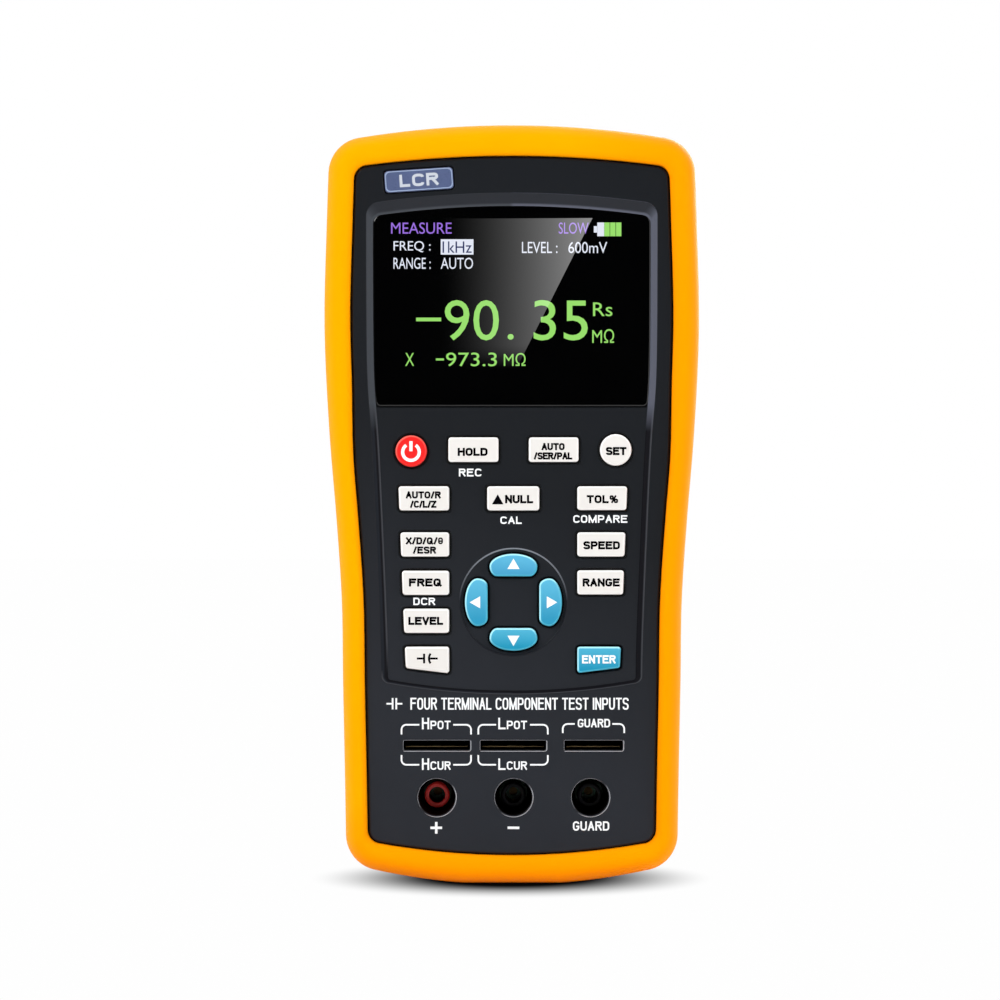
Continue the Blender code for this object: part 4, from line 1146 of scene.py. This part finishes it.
def key_legends():
    """What is printed on the key caps."""
    bold, medium = 0.54, 0.52
    dark = {
        "key_hold": word("HOLD", -9.7, 106.9, 7.4, 2.0, bold),
        "key_circuit": two_lines(10.2, 107.05, ("AUTO", 5.7), ("/SER/PAL", 9.5)),
        "key_set": word("SET", 25.8, 107.1, 5.1, 2.0, bold),
        "key_function": two_lines(-21.9, 95.1, ("AUTO/R", 8.65), ("/C/L/Z", 6.5)),
        "key_null": [triangle(-3.5, 94.75, 1.65)] + word("NULL", 1.8, 95.2, 6.95, 2.05, bold),
        "key_tolerance": word("TOL%", 22.4, 95.2, 7.8, 2.0, medium),
        "key_parameter": two_lines(-21.6, 83.75, ("X/D/Q/θ", 9.2), ("/ESR", 5.7)),
        "key_speed": word("SPEED", 22.2, 83.8, 9.05, 2.0, medium),
        "key_frequency": word("FREQ", -21.4, 74.6, 8.1, 2.0, bold),
        "key_range": word("RANGE", 22.1, 74.6, 9.2, 2.0, medium),
        "key_level": word("LEVEL", -21.3, 65.1, 8.6, 2.0, bold),
        "key_sorting": [
            straight(-23.5, 55.8, -21.8, 55.8, 0.5),
            straight(-21.7, 57.0, -21.7, 54.6, medium),
            stroke(arc_points(-18.5, 55.8, 2.0, 143, 217), medium),
            straight(-20.5, 55.8, -18.3, 55.8, 0.5),
        ],
    }
    for key, marks in dark.items():
        printed(key + "_legend", marks, KEY_TOP_Y, DARK_INK, key)
    x, z = PAD_CENTRE
    reach = PAD_REACH + 0.2
    pointers = {"key_up": (0, 1, 0.0), "key_left": (-1, 0, math.pi / 2), "key_down": (0, -1, math.pi),
                "key_right": (1, 0, -math.pi / 2)}
    for key, (across, up, turn) in pointers.items():
        printed(key + "_legend", [triangle(x + across * reach, z + up * reach, 1.72, turn)], KEY_TOP_Y,
                WHITE_INK, key)
    printed("key_enter_legend", word("ENTER", 21.5, 55.6, 8.3, 2.05), KEY_TOP_Y, WHITE_INK, "key_enter")
    x, z = -24.95, 106.85
    printed("key_power_legend", [
        stroke(arc_points(x, z, 2.05, 125, 415, 36), 0.8),
        straight(x, z + 2.7, x, z + 0.2, 0.8),
    ], KEY_TOP_Y, WHITE_INK, "key_power")


def bracket(left, right, z, drop, gap, mirror=1):
    """Two-part bracket round a slot, open in the middle for its label."""
    radius = 1.2
    marks = []
    for end, sign in ((left, 1), (right, -1)):
        middle = (left + right) / 2 - sign * gap / 2
        bend = arc_points(0, 0, radius, 180, 90, 6)
        points = [(end, z - mirror * drop)]
        points += [(end + sign * (radius + px), z - mirror * (radius - pz)) for px, pz in bend]
        points.append((middle, z))
        marks.append(stroke(points, 0.4))
    return marks


def terminal_name(text, x, z):
    """Tall first letter with small capitals after it."""
    first = word(text[0], x - 2.75, z, 1.8, 2.85, 0.44)
    return first + word(text[1:], x + 0.95, z - 0.35, 5.0, 2.1, 0.37)


def panel_legends():
    """White legends on the bay's floor and on the panel."""
    thin, bold = 0.37, 0.62
    printed("keypad_legends", [
        *word("REC", -10.3, 101.8, 5.6, 1.94, thin),
        *word("CAL", -0.2, 90.0, 5.3, 1.85, thin),
        *word("COMPARE", 21.9, 90.3, 13.4, 1.9, thin),
        *word("DCR", -21.7, 69.9, 5.4, 1.85, thin),
    ], FLOOR_Y, WHITE_INK)
    marks = word("FOUR TERMINAL COMPONENT TEST INPUTS", 1.9, 44.6, 54.0, 2.95, 0.39)
    lead, plate = 0.4, 0.42
    capacitor = ((-31.0, 44.6, -29.7, 44.6, lead), (-29.5, 46.0, -29.5, 43.2, plate),
                 (-28.6, 46.0, -28.6, 43.2, plate), (-28.4, 44.6, -27.1, 44.6, lead))
    marks += [straight(*ends) for ends in capacitor]
    marks += terminal_name("HPOT", -18.6, 39.7) + terminal_name("LPOT", 0.3, 39.7)
    marks += terminal_name("HCUR", -18.6, 29.65) + terminal_name("LCUR", 0.3, 29.65)
    marks += word("GUARD", 20.3, 39.8, 8.0, 2.1, thin)
    for left, right in ((-27.3, -10.1), (-8.3, 8.9)):
        marks += bracket(left, right, 39.4, 2.4, 8.4) + bracket(left, right, 29.5, 2.4, 8.4, -1)
    marks += bracket(12.6, 27.8, 39.6, 2.25, 9.3)
    plus_and_minus = ((-20.15, 13.9, -17.25, 13.9), (-18.7, 15.35, -18.7, 12.45), (-1.05, 13.9, 1.85, 13.9))
    marks += [straight(*ends, bold) for ends in plus_and_minus]
    marks += word("GUARD", 19.6, 14.35, 9.0, 2.3, 0.40)
    printed("terminal_legends", marks, FACE_Y, WHITE_INK)


def slot_contacts():
    """Sprung brass leaves: the lower one's front edge shows in the middle of each slot."""
    lower, upper = (SLOT_Z - 0.47, 0.0), (SLOT_Z + 1.05, 4.0)
    leaves = {"high_cur": lower, "low_cur": lower, "guard": lower, "high_pot": upper, "low_pot": upper}
    for name, (z, behind) in leaves.items():
        near, far = [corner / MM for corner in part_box(f"contact_{name}")]
        front, bend_y, base = near.y + behind, near.y + behind + 5.0, (near.z + far.z) / 2
        leaf = [(front, z - 0.09), (front, z + 0.09), (bend_y, base + 0.2), (far.y, base + 0.2),
                (far.y, base - 0.2), (bend_y, base - 0.2)]
        ends = [[(x, y, height) for y, height in leaf] for x in (near.x, far.x)]
        piece(f"leaf_{name}", lofts("leaf", [ends]), LOOKS["leaf_brass"], slot="brass",
              stands_for=[f"contact_{name}"])


def name_badge():
    """Slate-blue plate with a pale raised border and the generic word for such a meter."""
    front, proud = FACE_Y - 0.2, 0.06
    steps = ((FACE_Y + 0.7, 0.0), (front + 0.15, 0.0), (front, -0.15))
    piece("badge_plate", lofts("badge_plate", [stack(badge_loop(0.0), steps)]), LOOKS["badge_blue"],
          slot="badge_blue", stands_for=["badge"])
    outer, inner = -0.18, -0.42
    rings = sections(badge_loop, ((outer, front), (outer, front - proud), (inner, front - proud),
                                  (inner, front)))
    piece("badge_border", lofts("badge_border", [rings], ring=True), PALE_METAL)
    printed("badge_word", word("LCR", *BADGE_CENTRE, 9.6, 3.1, 0.7, BADGE_TILT), front, BADGE_INK)


def jack_posts():
    """Finely turned jack posts and brass sockets."""
    for label, x in JACKS.items():
        slot = "jack_red" if label == "plus" else "black_plastic"
        front, back = [corner.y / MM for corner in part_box(f"jack_post_{label}")]
        post = [(2.0, front + 0.25), (2.1, front + 0.03), (2.4, front), (2.8, front + 0.08),
                (3.1, front + 0.5), (2.5, back), (2.4, back), (2.4, front + 1.0), (2.0, front + 1.0)]
        piece(f"post_{label}", turned("post", post, x, JACK_Z), LOOKS[slot], slot=slot,
              stands_for=[f"jack_post_{label}"])
        near, far = [corner.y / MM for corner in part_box(f"jack_socket_{label}")]
        socket = [(2.0, near + 1.5), (2.15, near + 1.2), (2.35, near + 1.2), (2.35, back), (2.3, far),
                  (0.0, far), (0.0, far - 1.0), (2.0, far - 1.0)]
        piece(f"socket_{label}", turned("socket", socket, x, JACK_Z, 32), LOOKS["socket_brass"],
              slot="brass", stands_for=[f"jack_socket_{label}"])


def bead(name, loop, y, height, width, look):
    """Fine raised bead that runs outside a loop on a surface at depth y."""
    steps = ((y + 0.2, 0.0), (y - height / 2, 0.0), (y - height, 0.2 * width), (y - height, 0.35 * width),
             (y + 0.04, width), (y + 0.2, width))
    piece(name, lofts(name, [stack(loop, steps)], ring=True), look)


def rims():
    """Beads round the dish of the direction keys, the jack holes and the slots."""
    bead("pad_rim", circle(*PAD_CENTRE, PAD_DISH_RADIUS - 0.3, 96), FLOOR_Y, 0.13, 0.45, LOOKS["pad_rim"])
    holes = {f"jack_rim_{label}": circle(x, JACK_Z, JACK_HOLE + 0.05, 64) for label, x in JACKS.items()}
    holes.update({f"slot_rim_{label}": slot_loop(label, 0.1) for label in SLOTS})
    for name, loop in holes.items():
        bead(name, loop, FACE_Y, 0.10, 0.32, LOOKS["hole_rim"])


def screws():
    """Pan-head screws with cross recesses, seen from the back."""
    heads = [f"case_screw_{i}" for i in range(1, 5)] + [f"cover_screw_{i}" for i in range(1, 3)]
    for name in heads:
        low, high = [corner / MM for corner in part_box(name)]
        x, z, radius, top = (low.x + high.x) / 2, (low.z + high.z) / 2, (high.x - low.x) / 2, high.y
        shank, under = 0.45 * radius, top - 0.5 * radius
        edge = [(radius * math.cos(a), top - 0.45 * (1 - math.sin(a))) for a in spread(0, math.pi / 2, 6)]
        profile = [(0.0, low.y), (shank, low.y + 1.0), (shank, under), (radius, under)]
        solid = turned(name, profile + edge + [(0.0, top)], x, z, 32)
        bars = []
        for wide, tall in ((1.3, 0.3), (0.3, 1.3)):
            bars.append([stack(rectangle(x, z, wide * radius, tall * radius), (
                (top + 0.3, 0.1), (top - 0.1, 0.0), (top - 0.45 * radius, -0.05 * radius)))])
        piece(name + "_head", carve(solid, bars), LOOKS["steel"], slot="steel", stands_for=[name])


def cad_finishes():
    """Materials for the CAD nodes that stay on show."""
    slots = {part["node"]: part["material_slot"] for part in frame["record"]["subparts"]}
    for name, node in frame["nodes"].items():
        node.data.materials.clear()
        look = "well_black" if name == "terminal_block" else slots[name]
        node.data.materials.append(LOOKS[look])
        node.data.set_sharp_from_angle(angle=CAD_SHARP)


# ---------------------------------------------------------------- studio

def camera():
    """Level camera square to the panel, about a metre away."""
    lens = bpy.data.cameras.new("camera")
    holder = in_scene("camera", lens)
    lens.sensor_width = 36.0
    lens.lens = lens.sensor_width * (FACE_Y - CAMERA[1]) / FIELD
    holder.location = Vector(CAMERA) * MM
    holder.rotation_euler = (math.pi / 2, 0, 0)
    lens.clip_start = 0.01
    lens.clip_end = 50.0
    bpy.context.scene.camera = holder


def floor_paper():
    """White paper with a painted soft round shadow under the meter, and dim in other objects' view."""
    nodes = new_material("floor_paper")
    grain = nodes.blend(nodes.noise(1.2), (0.985, 0.985, 0.985), (1.0, 1.0, 1.0))
    across = nodes.sum_of("DIVIDE", nodes.along("X"), SHADOW_REACH[0] * MM)
    deep = nodes.sum_of("DIVIDE", nodes.along("Y"), SHADOW_REACH[1] * MM)
    square = nodes.sum_of("ADD", nodes.product(across, across), nodes.product(deep, deep))
    shade = nodes.between(nodes.sum_of("SQRT", square, 0.0), 0.0, 1.0, 0.36, 0.97, soft=True)
    seen = nodes.add("ShaderNodeEmission", nodes.blend(shade, (0.002, 0.002, 0.002), grain))
    unseen = nodes.add("ShaderNodeBsdfDiffuse", (0.8, 0.8, 0.8))
    ray = nodes.add("ShaderNodeLightPath").outputs["Is Camera Ray"]
    either = nodes.add("ShaderNodeMixShader", ray, unseen.outputs["BSDF"], seen.outputs["Emission"])
    return nodes.shown_by(either.outputs["Shader"])


def in_mirror(x, z):
    """Point of the glare panel that the camera sees reflected at a point of the window."""
    eye = Vector((CAMERA[0], 2 * WINDOW_FRONT_Y - CAMERA[1], CAMERA[2]))
    ray = Vector((x, WINDOW_FRONT_Y, z)) - eye
    return (eye + ray * (GLARE_Y - eye.y) / ray.y) * MM


def softbox(name, place, size, power):
    """Square soft light aimed at the middle of the meter."""
    middle = Vector((0.0, 0.0, 0.095))
    light = bpy.data.lights.new(name, "AREA")
    light.shape = "SQUARE"
    light.size = size
    light.energy = power
    holder = in_scene(name, light)
    holder.location = place
    holder.rotation_euler = (middle - Vector(place)).to_track_quat("-Z", "Y").to_euler()


def studio():
    """White floor, soft lights, and an even surround that is dark only behind the camera."""
    bm = bmesh.new()
    bmesh.ops.create_grid(bm, x_segments=1, y_segments=1, size=6.0)
    floor = in_scene("floor", to_mesh("floor", bm))
    floor.data.materials.append(floor_paper())
    softbox("key_light", (-0.85, -1.0, 0.75), 0.55, 13.0)
    softbox("fill_light", (0.95, -0.75, 0.35), 0.8, 7.0)
    softbox("top_light", (-0.1, 0.15, 1.2), 0.9, 2.0)
    softbox("back_light", (0.5, 1.2, 0.6), 0.9, 15.0)
    surround()
    window_glare()


def surround():
    """World light: white to the camera, soft to the object, and dark behind the camera."""
    world = bpy.data.worlds.new("surround")
    bpy.context.scene.world = world
    nodes = Nodes(world)
    soft = nodes.between(nodes.along("Y", "Generated"), 0.0, 0.8, -0.92, -0.45)
    ray = nodes.add("ShaderNodeLightPath").outputs["Is Camera Ray"]
    pick = nodes.add("ShaderNodeMix", Factor=ray, A=soft, B=1.0)
    background = nodes.tree.nodes["Background"]
    nodes.feed(background.inputs["Strength"], pick.outputs["Result"])
    nodes.feed(background.inputs["Color"], (1.0, 1.0, 1.0))


def window_glare():
    """Slanting light panel behind the camera that the window reflects. It fades out to one side."""
    left, right, foot, top, full = -20.0, 20.0, 127.0, 164.9, 134.0
    corners = [in_mirror(left, foot), in_mirror(1.0, foot), in_mirror(right, top), in_mirror(left, top)]
    bm = bmesh.new()
    bm.faces.new([bm.verts.new(corner) for corner in corners])
    panel = in_scene("glare_panel", to_mesh("glare_panel", bm))
    panel.visible_camera = False
    panel.visible_diffuse = False
    nodes = new_material("glare_light")
    across = nodes.rise(nodes.along("X"), in_mirror(left + 1.0, 0.0).x, in_mirror(right, 0.0).x)
    up = nodes.rise(nodes.along("Z"), in_mirror(0.0, foot).z, in_mirror(0.0, full).z, soft=True)
    strength = nodes.product(nodes.sum_of("POWER", across, 2.2), up, GLARE_STRENGTH)
    glow = nodes.add("ShaderNodeEmission", Strength=strength).outputs["Emission"]
    panel.data.materials.append(nodes.shown_by(glow))


camera()
bpy.context.scene.view_settings.view_transform = "Standard"
cad_finishes()
holster()
front_panel()
bay_wall()
display()
key_caps()
key_legends()
panel_legends()
name_badge()
jack_posts()
slot_contacts()
rims()
screws()
studio()
